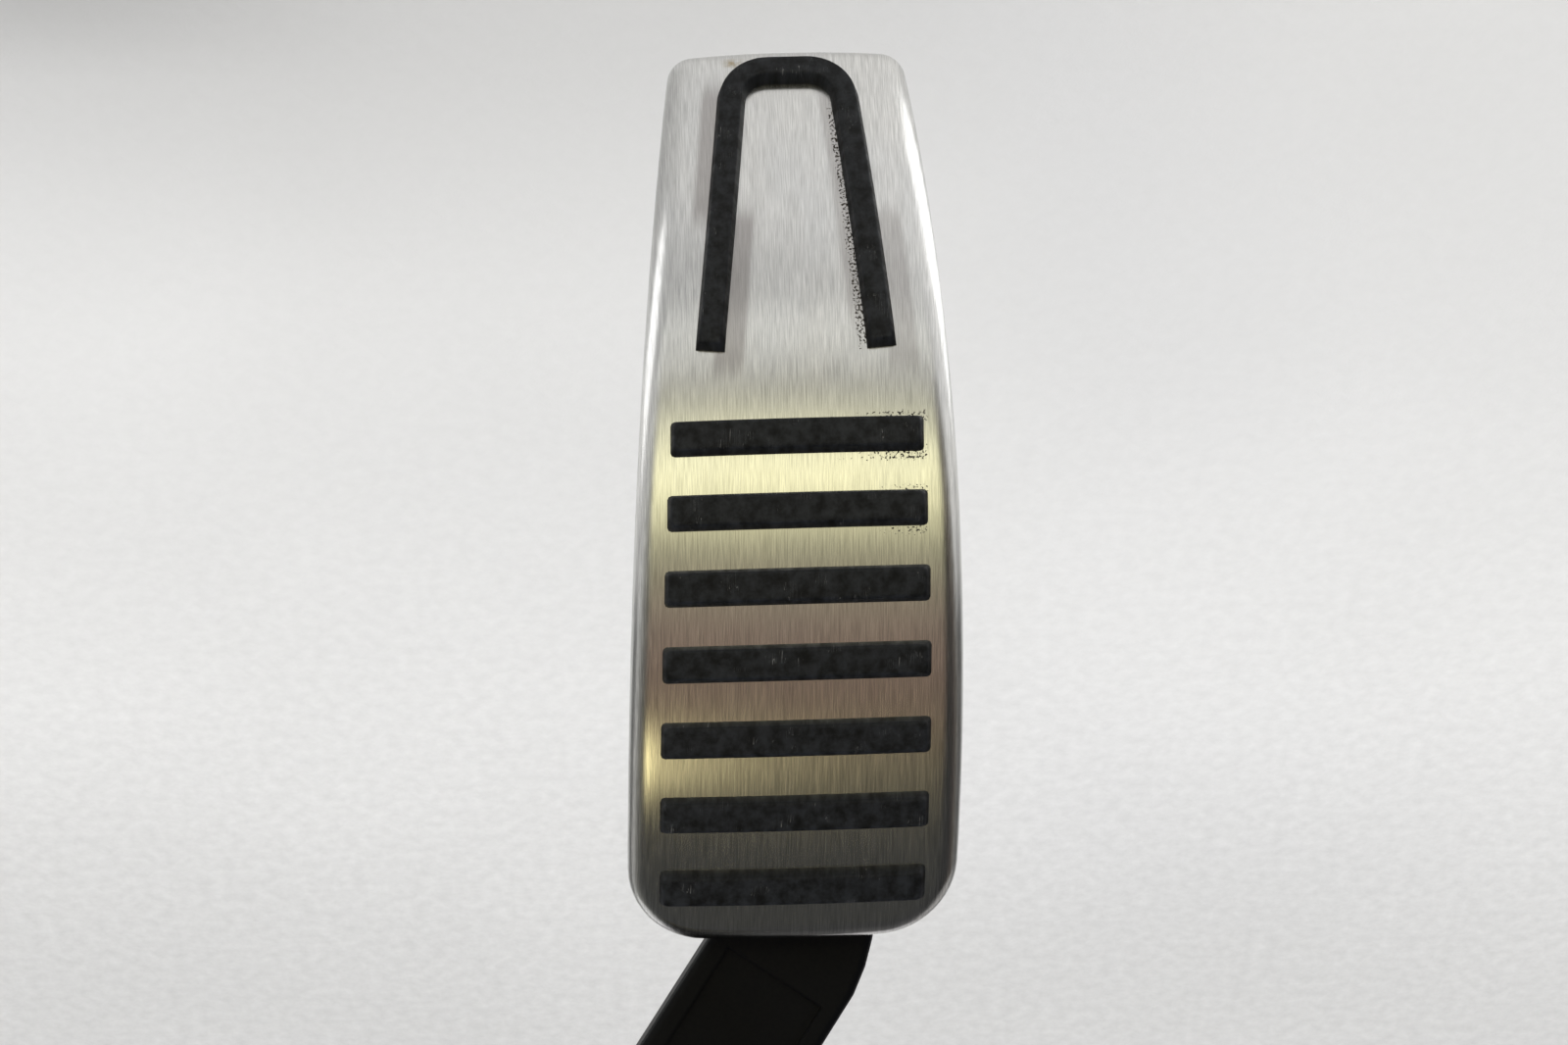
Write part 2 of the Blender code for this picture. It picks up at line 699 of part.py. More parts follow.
def housing_profile(back):
    """The housing's outline seen from the side, from the plane Y = back."""
    return rounded_polygon([
        (back, 44.0, 0.0),
        (-58.0, 44.0, 18.0),
        (-80.0, 18.0, 18.0),
        (-80.0, -26.0, 6.0),
        (-71.0, -42.0, 1.5),
        (-52.0, -66.0, 4.0),
        (back, -66.0, 0.0),
    ], 5)


def cavity_profile():
    """The space inside the housing. It runs out through the slot that the arm leaves by."""
    return rounded_polygon([
        (-BACK_THICKNESS, 44.0 - WALL, 2.0),
        (-57.0, 44.0 - WALL, 15.0),
        (-80.0 + WALL, 17.0, 15.0),
        (-80.0 + WALL, -25.0, 0.0),
        (-73.0, -44.0, 0.0),
        (-60.0, -76.0, 0.0),
        (-36.0, -76.0, 0.0),
        (-34.0, -66.0 + WALL, 0.0),
        (-BACK_THICKNESS, -66.0 + WALL, 2.0),
    ], 4)


def make_housing(looks):
    half = HOUSING_HALF_WIDTH
    body = prism(housing_profile(0.0), -half, CHEEK_OUT, "YZ")
    cavity = prism(cavity_profile(), -half - 5.0, half, "YZ")
    flange = prism(hull_of_circles(BOLTS, EAR_RADIUS - 0.8), -FLANGE_THICKNESS, 0.0, "XZ")
    ears = [cylinder((x, 0, z), "Y", EAR_RADIUS, -EAR_THICKNESS, -1.0, 24) for x, z in BOLTS]
    tube = cylinder((0, 0, SPRING_Z), "Y", TUBE_OUTER, TUBE_END_Y, -BACK_THICKNESS + 2.0, 24)
    tower = box((-8.0, TOWER_END_Y, -65.0), (8.0, -BACK_THICKNESS + 2.0, -49.5))
    ledge_face = [arm_point(t, 0, STOP_THICKNESS + 3 * CLEARANCE) for t in (IDLE_STOP_T - 7.0, IDLE_STOP_T + 7.0)]
    ledge_outline = [(p.y, p.z) for p in ledge_face] + [(-86.0, ledge_face[1].z), (-86.0, ledge_face[0].z)]
    front_ledge = prism(ledge_outline, -7.0, 7.0, "YZ")
    bosses = [cylinder((0, y, z), "X", 4.4, -half - 6.0, half + 1.0, 16) for y, z in COVER_SCREWS]
    chamber = prism(rounded_box(SENSOR_CENTRE, SENSOR_HALF, 6.0), CHEEK_OUT - 1.5, CHAMBER_END, "YZ")
    room_half = (SENSOR_HALF[0] - SENSOR_WALL, SENSOR_HALF[1] - SENSOR_WALL)
    room = prism(rounded_box(SENSOR_CENTRE, room_half, 4.0), CHEEK_OUT, CHAMBER_END + 2.0, "YZ")
    bolt_holes = [cylinder((x, 0, z), "Y", SLEEVE_OUTER + CLEARANCE, -20.0, 5.0, 16) for x, z in BOLTS]
    pilots = [cylinder((0, y, z), "X", 1.6 + CLEARANCE, -half - 2.0, -half + 12.0, 12)
              for y, z in COVER_SCREWS]
    sensor_pilots = [cylinder((0, y, z), "X", 1.2 + CLEARANCE, CHAMBER_END - 7.0, CHAMBER_END + 2.0, 10)
                     for y, z in sensor_screw_places()]
    bearing = cylinder((0, PIVOT_Y, PIVOT_Z), "X", BUSH_OUTER + CLEARANCE, half - 2.0, CHEEK_OUT + 2.0)
    bore = cylinder((0, 0, SPRING_Z), "Y", TUBE_INNER, TUBE_END_Y - 3.0, -BACK_THICKNESS, 24)
    hollow = add_object("hollow", cavity)
    for shape in [tube, tower, front_ledge, *bosses]:
        combine(hollow, add_object("kept", shape), "DIFFERENCE")
    thing = add_object("housing", body)
    combine(thing, hollow, "DIFFERENCE")
    for shape in [flange, *ears, chamber]:
        combine(thing, add_object("added", shape), "UNION")
    for shape in [merged([room, bore, *bolt_holes, *pilots, *sensor_pilots]), bearing]:
        combine(thing, add_object("removed", shape), "DIFFERENCE")
    tidy(thing)
    dress(thing, looks["nylon"], None)


def make_cover(looks):
    """The left side cover, which carries the left bush and has stiffening ribs outside."""
    inside, outside = -HOUSING_HALF_WIDTH - CLEARANCE, -CHEEK_OUT - CLEARANCE
    plate = prism(housing_profile(-FLANGE_THICKNESS - CLEARANCE), outside, inside, "YZ")
    centre = (0, PIVOT_Y, PIVOT_Z)
    ribs = []
    rib_start, rib_end = 9.0, 27.0
    for degrees in range(0, 360, 45):
        a = math.radians(degrees)
        out = Vector((math.cos(a), math.sin(a)))
        across = Vector((-out.y, out.x)) * 0.9
        corners = [out * rib_start - across, out * rib_end - across, out * rib_end + across,
                   out * rib_start + across]
        outline = [(PIVOT_Y + c.x, PIVOT_Z + c.y) for c in corners]
        ribs.append(prism(outline, outside - 1.6, outside + 1.0, "YZ"))
    rim = ring(centre, "X", 26.0, 28.0, outside - 1.6, outside + 1.0, 32)
    boss = cylinder(centre, "X", 10.5, outside - 1.6, outside + 1.0, 24)
    hole = cylinder(centre, "X", BUSH_OUTER + CLEARANCE, outside - 4.0, inside + 2.0)
    screw_holes = [cylinder((0, y, z), "X", 1.6 + CLEARANCE, outside - 2.0, inside + 2.0, 12)
                   for y, z in COVER_SCREWS]
    build("side_cover", plate, looks["nylon"], None, added=[rim, *ribs, boss],
          removed=[hole, merged(screw_holes)])


def pan_screw(y, z, seat, direction, radius, length, head):
    """A pan-head screw along X whose head sits outside the plane X = seat."""
    profile = [(0, length), (radius * 0.6, length), (radius, length - 1.2), (radius, 0), (head, 0),
               (head, -1.0), (head * 0.72, -1.9), (0, -2.0)]
    shape = turned([(r, h) for r, h in profile], (0, 0, 0), "X", 16)
    if direction < 0:
        shape.transform(Matrix.Rotation(math.pi, 4, "Z"))
    shape.transform(Matrix.Translation((seat, y, z)))
    return shape


def make_fasteners(looks):
    seat = -CHEEK_OUT - 2 * CLEARANCE
    screws = [pan_screw(y, z, seat, 1, 1.6, 12.0, 3.4) for y, z in COVER_SCREWS]
    add_numbered("cover_screw", screws, looks["steel"])
    sleeves = [ring((x, 0, z), "Y", SLEEVE_INNER, SLEEVE_OUTER, -EAR_THICKNESS, 0.0, 16) for x, z in BOLTS]
    add_numbered("mount_sleeve", sleeves, looks["steel"])
    seat = CAP_START + CAP_FLANGE + CLEARANCE
    screws = [pan_screw(y, z, seat, -1, 1.2, 9.0, 2.5) for y, z in sensor_screw_places()]
    add_numbered("sensor_screw", screws, looks["steel"])


# ---------------------------------------------------------------- pivot


def make_pivot(looks, parent):
    centre = (0, PIVOT_Y, PIVOT_Z)
    left, right = -25.0, 24.6
    groove = -CHEEK_OUT - 2 * CLEARANCE - 0.6
    radius, neck = SHAFT_RADIUS, SHAFT_RADIUS - 0.9
    profile = [(0, left), (radius - 0.5, left), (radius, left + 0.5), (radius, groove - 1.2),
               (neck, groove - 1.2), (neck, groove), (radius, groove), (radius, right - 0.5),
               (radius - 0.5, right), (0, right)]
    add_object("pivot_shaft", turned(profile, centre, "X", 24), looks["steel"], parent)
    inner = HUB_HALF_WIDTH + 0.5
    shoulder, outer = HOUSING_HALF_WIDTH - CLEARANCE, CHEEK_OUT
    profile = [(BUSH_BORE, inner), (BUSH_FLANGE, inner), (BUSH_FLANGE, shoulder), (BUSH_OUTER, shoulder),
               (BUSH_OUTER, outer), (BUSH_BORE, outer)]
    add_object("right_bush", turned(profile, centre, "X", 24), looks["bronze"])
    mirrored = [(r, -h) for r, h in profile]
    add_object("left_bush", turned(mirrored, centre, "X", 24), looks["bronze"])
    clip_outline = arc((0, 0), 6.2, 35, 325, 16) + arc((0, 0), neck + 0.3, 325, 35, 16)
    outline = [(PIVOT_Y + a, PIVOT_Z + b) for a, b in clip_outline]
    add_object("shaft_clip", prism(outline, groove - 1.0, groove - 0.2, "YZ"), looks["spring"], parent)


# ---------------------------------------------------------------- springs, plunger and stops


def spring(name, radius, wire, turns, start, end, look):
    """A compression spring along Y with closed end turns."""
    steps = 10
    dead = 1.0  # closed turns at each end
    points = []
    low, high = start + wire / 2, end - wire / 2
    travel = high - low - 2 * dead * wire * 1.08
    for i in range(int(turns * steps) + 1):
        turn = i / steps
        closed = min(turn, dead) + max(0.0, turn - (turns - dead))
        live = max(0.0, min(turn, turns - dead) - dead) / (turns - 2 * dead)
        angle = 2 * math.pi * turn
        y = low + closed * wire * 1.08 + live * travel
        points.append((radius * math.cos(angle), y, SPRING_Z + radius * math.sin(angle)))
    curve = bpy.data.curves.new(name, "CURVE")
    curve.dimensions = "3D"
    curve.bevel_depth = wire / 2 * MM
    curve.bevel_resolution = 1
    curve.use_fill_caps = True
    line = curve.splines.new("POLY")
    line.points.add(len(points) - 1)
    for point, place in zip(line.points, points):
        point.co = (*(Vector(place) * MM), 1.0)
    thing = bpy.data.objects.new(name, curve)
    bpy.context.scene.collection.objects.link(thing)
    dress(thing, look, None)


def make_spring_pack(looks, slide):
    axis_point = (0, 0, SPRING_Z)
    nose_tip = SPRING_FLAT_Y + NOSE_GAP
    crown = nose_tip + NOSE_RADIUS
    nose = [(NOSE_RADIUS * math.sin(math.radians(a)), crown - NOSE_RADIUS * math.cos(math.radians(a)))
            for a in (0, 22, 44, 66, 88)]
    seat = crown - 4.0
    profile = nose + [(PLUNGER_OUTER, crown + 1.0), (PLUNGER_OUTER, PLUNGER_OPEN_Y),
                      (PLUNGER_INNER, PLUNGER_OPEN_Y), (PLUNGER_INNER, seat), (0, seat)]
    add_object("spring_plunger", turned(profile, axis_point, "Y", 24), looks["acetal"], slide)
    base = -BACK_THICKNESS - CLEARANCE
    spring("outer_spring", 6.8, 1.6, 8.0, seat + CLEARANCE, base, looks["spring"])
    spring("inner_spring", 4.3, 1.1, 10.0, seat + CLEARANCE, base, looks["spring"])
    outer, inner = TUBE_INNER - CLEARANCE, PLUNGER_OUTER + CLEARANCE
    split = 8.0
    outline = arc((0, SPRING_Z), outer, split, 360 - split, 22)
    outline += arc((0, SPRING_Z), inner, 360 - split, split, 22)
    sleeve = prism(outline, TUBE_END_Y + 0.5, -BACK_THICKNESS - CLEARANCE, "XZ")
    add_object("friction_sleeve", sleeve, looks["acetal"])


def make_stops(looks):
    """Rubber pads that the arm's front meets at rest, and its back at full travel."""
    near, far = 2 * CLEARANCE, 2 * CLEARANCE + STOP_THICKNESS
    low, high = IDLE_STOP_T - 5.5, IDLE_STOP_T + 5.5
    corners = [arm_point(t, 0, lift) for t, lift in ((low, near), (high, near), (high, far), (low, far))]
    idle = rounded_polygon([(p.y, p.z, 0.8) for p in corners], 3)
    add_object("idle_stop", prism(idle, -6.0, 6.0, "YZ"), looks["rubber"])
    centre = Vector((0, PIVOT_Y, PIVOT_Z))
    swing = Matrix.Rotation(FULL_TRAVEL, 3, "X")
    face = []
    for t in (FULL_STOP_T + 6.0, FULL_STOP_T - 6.0):
        rest = arm_point(t, 0, -ARM_THICKNESS - 2 * CLEARANCE)
        face.append(centre + swing @ (rest - centre))
    end = TOWER_END_Y - CLEARANCE
    corners = [(p.y, p.z, 1.0) for p in face] + [(end, face[1].z, 0.6), (end, face[0].z, 0.6)]
    add_object("full_stop", prism(rounded_polygon(corners, 3), -7.0, 7.0, "YZ"), looks["rubber"])


# ---------------------------------------------------------------- sensor


def sensor_screw_places():
    reach = (SENSOR_HALF[0] - 3.0, SENSOR_HALF[1] - 3.0)
    (y, z), (dy, dz) = SENSOR_CENTRE, reach
    return [(y - dy, z - dz), (y + dy, z - dz), (y + dy, z + dz), (y - dy, z + dz)]


def pin_places():
    middle = (PIN_COUNT - 1) / 2
    return [SENSOR_CENTRE[0] + (i - middle) * PIN_PITCH for i in range(PIN_COUNT)]


def make_rotor(looks, parent):
    centre = (0, PIVOT_Y, PIVOT_Z)
    start = CHEEK_OUT + 1.0
    rotor = turned([(BUSH_BORE, start), (12.5, start), (12.5, start + 2.4), (7.0, start + 2.4),
                    (7.0, start + 3.6), (BUSH_BORE, start + 3.6)], centre, "X", 28)
    add_object("sensor_rotor", rotor, looks["acetal"], parent)
    magnets = []
    face = start + 2.4 + CLEARANCE
    for middle in (90, 270):
        outline = arc((0, 0), 12.0, middle - 60, middle + 60, 10) + arc((0, 0), 7.6, middle + 60, middle - 60, 10)
        outline = [(PIVOT_Y + a, PIVOT_Z + b) for a, b in outline]
        magnets.append(prism(outline, face, face + 1.6, "YZ"))
    add_numbered("rotor_magnet", magnets, looks["magnet"], parent)


def make_sensor(looks):
    board_start = CHAMBER_END - 2.3
    centre = SENSOR_CENTRE
    half = (SENSOR_HALF[0] - SENSOR_WALL - 0.8, SENSOR_HALF[1] - SENSOR_WALL - 0.8)
    board = prism(rounded_box(centre, half, 3.5, 3), board_start, board_start + 1.6, "YZ")
    add_object("circuit_board", board, looks["board"])
    chips = [box((board_start - 1.3, y - 3.0, z - 2.2), (board_start - CLEARANCE, y + 3.0, z + 2.2))
             for y, z in ((PIVOT_Y, 0.0), (PIVOT_Y + 16.0, 10.0))]
    add_numbered("sensor_chip", chips, looks["chip"])
    make_seal(looks)
    make_cap(looks)
    board_face = board_start + 1.6 + CLEARANCE
    pins = []
    for y in pin_places():
        low, high = y - PIN_SIZE / 2, y + PIN_SIZE / 2
        outline = [(board_face, 10.0), (PIN_X + PIN_SIZE / 2, 10.0), (PIN_X + PIN_SIZE / 2, 34.0),
                   (PIN_X - PIN_SIZE / 2, 34.0), (PIN_X - PIN_SIZE / 2, 10.0 + PIN_SIZE),
                   (board_face, 10.0 + PIN_SIZE)]
        pins.append(prism(outline, low, high, "XZ"))
    add_numbered("connector_pin", pins, looks["brass"])


def make_seal(looks):
    """A flat gasket ring between the chamber and the sensor cover."""
    start = CHAMBER_END + CLEARANCE
    outer_half = (SENSOR_HALF[0] - 4.6, SENSOR_HALF[1] - 4.6)
    inner_half = (SENSOR_HALF[0] - SENSOR_WALL, SENSOR_HALF[1] - SENSOR_WALL)
    outer = prism(rounded_box(SENSOR_CENTRE, outer_half, 5.0), start, start + SEAL_THICKNESS, "YZ")
    hole = prism(rounded_box(SENSOR_CENTRE, inner_half, 4.0), start - 1.0, start + 2.0, "YZ")
    build("sensor_seal", outer, looks["rubber"], None, removed=[hole])


def make_cap(looks):
    """The sensor cover: a flange, a hollow box, and the socket that the harness plugs into."""
    y, z = SENSOR_CENTRE
    flange = prism(rounded_box(SENSOR_CENTRE, SENSOR_HALF, 6.0), CAP_START, CAP_START + CAP_FLANGE, "YZ")
    box_half = (SENSOR_HALF[0] - SENSOR_WALL, SENSOR_HALF[1] - SENSOR_WALL)
    raised = prism(rounded_box(SENSOR_CENTRE, box_half, 5.0), CAP_START + 1.0, CAP_END, "YZ")
    room_half = (box_half[0] - CAP_WALL, box_half[1] - CAP_WALL)
    room = prism(rounded_box(SENSOR_CENTRE, room_half, 3.0), CAP_START - 1.0, CAP_END - CAP_WALL, "YZ")
    floor = z + box_half[1]
    middle_x = (CAP_START + CAP_END) / 2
    half_x = (CAP_END - CAP_START) / 2
    socket = prism(rounded_box((middle_x, y), (half_x, SOCKET_HALF_LENGTH), 2.0), floor - 1.5, SOCKET_TOP, "XY")
    inside = rounded_box((middle_x, y), (half_x - 1.6, SOCKET_HALF_LENGTH - 1.6), 1.2)
    mouth = prism(inside, floor + 0.5, SOCKET_TOP + 2.0, "XY")
    latch = box((CAP_END - 0.8, y - 3.0, SOCKET_TOP - 9.0), (CAP_END + 1.4, y + 3.0, SOCKET_TOP - 6.0))
    reach = PIN_SIZE / 2 + CLEARANCE
    pin_holes = [box((PIN_X - reach, p - reach, floor - 6.0), (PIN_X + reach, p + reach, floor + 3.0))
                 for p in pin_places()]
    screw_holes = [cylinder((0, a, b), "X", 1.2 + CLEARANCE, CAP_START - 2.0, CAP_START + 6.0, 10)
                   for a, b in sensor_screw_places()]
    build("sensor_cover", flange, looks["nylon"], None, added=[raised, socket, latch],
          removed=[room, mouth, merged(pin_holes), merged(screw_holes)])


# ---------------------------------------------------------------- assembly


def main():
    clear_scene()
    looks = make_materials()
    swing = pivot_empty("pedal_axis", PIVOT_Y, PIVOT_Z)
    slide = pivot_empty("plunger_axis", SPRING_FLAT_Y, SPRING_Z)
    make_housing(looks)
    make_cover(looks)
    make_fasteners(looks)
    make_pivot(looks, swing)
    make_arm(looks, swing)
    make_pad(looks, swing)
    make_spring_pack(looks, slide)
    make_stops(looks)
    make_rotor(looks, swing)
    make_sensor(looks)


main()
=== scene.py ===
"""Looks of a suspended accelerator pedal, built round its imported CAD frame.

The pad's steel face and its rubber treads get finely made pieces of their own. Every other CAD node keeps its
shape and gets a procedural material. Lengths in the pad's own functions are millimetres: s runs along the face
from its wide end, w across it, and lift out of it.
"""

import json
import math

import bmesh
import bpy
from mathutils import Matrix, Vector


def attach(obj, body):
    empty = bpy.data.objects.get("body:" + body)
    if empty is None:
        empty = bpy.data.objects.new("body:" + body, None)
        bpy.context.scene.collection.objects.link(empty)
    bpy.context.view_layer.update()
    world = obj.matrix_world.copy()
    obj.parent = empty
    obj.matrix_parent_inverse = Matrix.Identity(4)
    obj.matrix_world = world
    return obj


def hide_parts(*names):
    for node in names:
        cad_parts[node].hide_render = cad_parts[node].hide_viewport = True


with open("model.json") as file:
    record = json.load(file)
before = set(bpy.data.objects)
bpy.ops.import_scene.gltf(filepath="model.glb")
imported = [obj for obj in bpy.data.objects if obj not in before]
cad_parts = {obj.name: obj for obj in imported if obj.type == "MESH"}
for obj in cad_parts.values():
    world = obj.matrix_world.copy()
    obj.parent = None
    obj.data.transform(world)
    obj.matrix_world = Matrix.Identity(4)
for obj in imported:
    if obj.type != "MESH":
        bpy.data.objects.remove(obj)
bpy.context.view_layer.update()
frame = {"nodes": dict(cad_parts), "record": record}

MM = 0.001

# The pad's numbers, in millimetres, as in the CAD
PAD_X = -38.0
PAD_EDGE_Y, PAD_EDGE_Z = -118.0, -100.0
PAD_EDGE_TILT = math.radians(58.5)
PAD_START, PAD_LENGTH = -0.8, 154.0
PAD_BEND_RADIUS = 156.0
PAD_TAIL_START = 95.0
PAD_TAIL_RADIUS = 219.0
PAD_CROWN_RADIUS = 350.0
PAD_HALF_WIDTH = 26.5
PAD_WIDEST = 31.0
PAD_SIDE_RADIUS = 1070.0
PAD_SWEEP = 1.5  # how far its ends lie to one side of its middle
PAD_SKEW = 0.023  # slope of the treads and ends off square
WIDE_CORNER_RADIUS = 12.5
NARROW_CORNER_RADIUS = 4.4
END_ARCH_RADIUS = 260.0
FACE_THICKNESS = 1.0
FACE_ROLL = 3.5  # radius of the rolled edge
FACE_DEPTH = 7.5  # from the face to the lower edge of its skirt
HEM_ROUND = 0.15  # how much the skirt's lower edge is rounded
FACE_COLUMNS = 28

BAR_COUNT = 7
BAR_PITCH = 12.0
FIRST_BAR_S = 9.5
BAR_WIDTH = 4.7
BAR_SIDE_MARGIN = 5.75
BAR_COLUMNS = 24
TREAD_HEIGHT = 2.4
TREAD_DRAFT = 0.55  # how much wider the foot of a tread is than its top, on each side
TREAD_CORNER = 0.7
TREAD_FOOT = -0.6  # how deep a tread reaches into the steel
TREAD_EDGE = [(-0.42, 0.0), (-0.2, -0.06), (-0.06, -0.2), (0.04, -0.45)]  # (grow, drop) of its rounded top edge
LOOP_START, LOOP_END = 96.6, 149.5
LOOP_WIDTH = 3.6
LOOP_MOUTH_HALF_WIDTH = 15.5  # outside, at the open end
LOOP_CROWN_HALF_WIDTH = 11.2
LOOP_CROWN_RADIUS = 8.0


# ---------------------------------------------------------------- the pad's surface


def pad_angle(s):
    """The face's tilt at s: one lengthwise radius under the bars, and a larger one under the loop."""
    main = min(s, PAD_TAIL_START)
    return PAD_EDGE_TILT - main / PAD_BEND_RADIUS - (s - main) / PAD_TAIL_RADIUS


def pad_point(s, w, lift):
    """The world place of a point that lies lift above the face at (s, w)."""
    w += PAD_SWEEP * (2 * s / PAD_LENGTH - 1) ** 2
    s -= PAD_SKEW * w
    y, z, start = PAD_EDGE_Y, PAD_EDGE_Z, PAD_EDGE_TILT
    for radius, end in ((PAD_BEND_RADIUS, min(s, PAD_TAIL_START)), (PAD_TAIL_RADIUS, s)):
        angle = pad_angle(end)
        y -= radius * (math.cos(angle) - math.cos(start))
        z += radius * (math.sin(angle) - math.sin(start))
        start = angle
    rise = lift - w * w / (2 * PAD_CROWN_RADIUS)
    return Vector((PAD_X + w, y - rise * math.cos(start), z + rise * math.sin(start))) * MM


def side_half_width(s):
    return PAD_HALF_WIDTH - (s - PAD_WIDEST) ** 2 / (2 * PAD_SIDE_RADIUS)


def spread(first, last, count):
    """Evenly spaced numbers from first to last."""
    return [first + (last - first) * k / (count - 1) for k in range(count)]


def pad_half_outline(inset):
    """(s, half width) rows of the outline, drawn in by inset, from the wide end to the narrow one."""
    rows = []

    def end(base, sign, radius, shares):
        for share in shares:
            w = share * (side_half_width(base + sign * radius) - radius)
            rows.append((base + sign * (w * w / (2 * END_ARCH_RADIUS) + inset), w))

    def corner(base, sign, radius, angles):
        middle_w = side_half_width(base + sign * radius) - radius
        middle_s = base + sign * (middle_w**2 / (2 * END_ARCH_RADIUS) + radius)
        reach = radius - inset
        for degrees in angles:
            a = math.radians(degrees)
            rows.append((middle_s - sign * reach * math.cos(a), middle_w + reach * math.sin(a)))

    end(PAD_START, 1, WIDE_CORNER_RADIUS, (0.4, 0.7, 0.9, 1.0))
    corner(PAD_START, 1, WIDE_CORNER_RADIUS, spread(7.0, 88.0, 13))
    for s in spread(14.5, PAD_LENGTH - NARROW_CORNER_RADIUS - 3.0, 44):
        rows.append((s, side_half_width(s) - inset))
    corner(PAD_LENGTH, -1, NARROW_CORNER_RADIUS, spread(86.0, 8.0, 9))
    end(PAD_LENGTH, -1, NARROW_CORNER_RADIUS, (1.0, 0.9, 0.7, 0.4))
    return rows


def roll_levels(radius, inset, drop, steps):
    """(inset, lift) of a rolled edge, from the face out and down to where the skirt starts."""
    angles = [math.radians(90 - 90 * k / steps) for k in range(steps + 1)]
    return [(inset + radius * (1 - math.cos(a)), drop + radius * (math.sin(a) - 1)) for a in angles]


def mesh_piece(name, bm):
    """A smooth-shaded object from a closed mesh, with its faces turned outwards."""
    bmesh.ops.recalc_face_normals(bm, faces=bm.faces)
    if bm.calc_volume(signed=True) < 0:
        bmesh.ops.reverse_faces(bm, faces=bm.faces)
    mesh = bpy.data.meshes.new(name)
    bm.to_mesh(mesh)
    bm.free()
    mesh.shade_smooth()
    piece = bpy.data.objects.new(name, mesh)
    bpy.context.scene.collection.objects.link(piece)
    return piece


def flat_map(bm, flat):
    """Writes each vertex's place (w, s) on the flat face, in metres, as the piece's UV map."""
    layer = bm.loops.layers.uv.new("flat")
    for face in bm.faces:
        for loop in face.loops:
            w, s = flat[loop.vert]
            loop[layer].uv = (w * MM, s * MM)


def stack(name, levels):
    """A closed piece from equal grids of (s, w, lift).

    The first and last grids are its caps, and the edges of neighbouring grids are joined.
    """
    rows, columns = len(levels[0]), len(levels[0][0])
    bm = bmesh.new()
    flat = {}

    def vert(place):
        made = bm.verts.new(pad_point(*place))
        flat[made] = (place[1], place[0])
        return made

    edge = [(0, j) for j in range(columns)]
    edge += [(k, columns - 1) for k in range(1, rows)]
    edge += [(rows - 1, j) for j in range(columns - 2, -1, -1)]
    edge += [(k, 0) for k in range(rows - 2, 0, -1)]
    rings = []
    for index, level in enumerate(levels):
        if index in (0, len(levels) - 1):
            grid = [[vert(place) for place in row] for row in level]
            for k in range(rows - 1):
                for j in range(columns - 1):
                    bm.faces.new((grid[k][j], grid[k][j + 1], grid[k + 1][j + 1], grid[k + 1][j]))
            rings.append([grid[k][j] for k, j in edge])
        else:
            rings.append([vert(level[k][j]) for k, j in edge])
    for upper, lower in zip(rings, rings[1:]):
        for i in range(len(edge)):
            n = (i + 1) % len(edge)
            bm.faces.new((upper[i], upper[n], lower[n], lower[i]))
    flat_map(bm, flat)
    return mesh_piece(name, bm)


def symmetric_level(rows, lift, columns):
    """A grid at one lift, from (s, half width) rows."""
    return [[(s, half * (2 * j / columns - 1), lift) for j in range(columns + 1)] for s, half in rows]


def make_steel_face():
    """The cover as one closed sheet: over its face, round its rolled edge, under its skirt and back inside."""
    hem_start, hem = 0.4 - FACE_DEPTH, 0.1 - FACE_DEPTH
    levels = roll_levels(FACE_ROLL, 0.0, 0.0, 9)
    levels += [(0.0, lift) for lift in (-4.6, -6.0, hem_start)]
    levels += [(HEM_ROUND, hem), (FACE_THICKNESS / 2, -FACE_DEPTH)]
    levels += [(FACE_THICKNESS - HEM_ROUND, hem), (FACE_THICKNESS, hem_start)]
    levels += reversed(roll_levels(FACE_ROLL - FACE_THICKNESS, FACE_THICKNESS, -FACE_THICKNESS, 5))
    grids = [symmetric_level(pad_half_outline(inset), lift, FACE_COLUMNS) for inset, lift in levels]
    return stack("steel_pad_face", grids)


# ---------------------------------------------------------------- treads


def tread_heights():
    """(grow, lift) of a tread's levels: a rounded top edge, drafted sides, and a foot in the steel."""
    levels = [(grow, TREAD_HEIGHT + drop) for grow, drop in TREAD_EDGE]
    levels += [(TREAD_DRAFT * 0.55, TREAD_HEIGHT * 0.4), (TREAD_DRAFT, 0.05), (TREAD_DRAFT, TREAD_FOOT)]
    return levels


def make_bar(index):
    """One cross bar, counted from the wide end, with its corners cut twice so that they look round."""
    s = FIRST_BAR_S + index * BAR_PITCH
    grids = []
    for grow, lift in tread_heights():
        half_s = BAR_WIDTH / 2 + grow
        half_w = side_half_width(s) - BAR_SIDE_MARGIN + grow
        cut = TREAD_CORNER
        small = cut * 0.3
        rows = [(s - half_s, half_w - cut), (s - half_s + small, half_w - small)]
        rows += [(s - half_s + cut, half_w), (s, half_w), (s + half_s - cut, half_w)]
        rows += [(s + half_s - small, half_w - small), (s + half_s, half_w - cut)]
        grids.append(symmetric_level(rows, lift, BAR_COLUMNS))
    return stack(f"grip_bar_{index + 1}_rubber", grids)


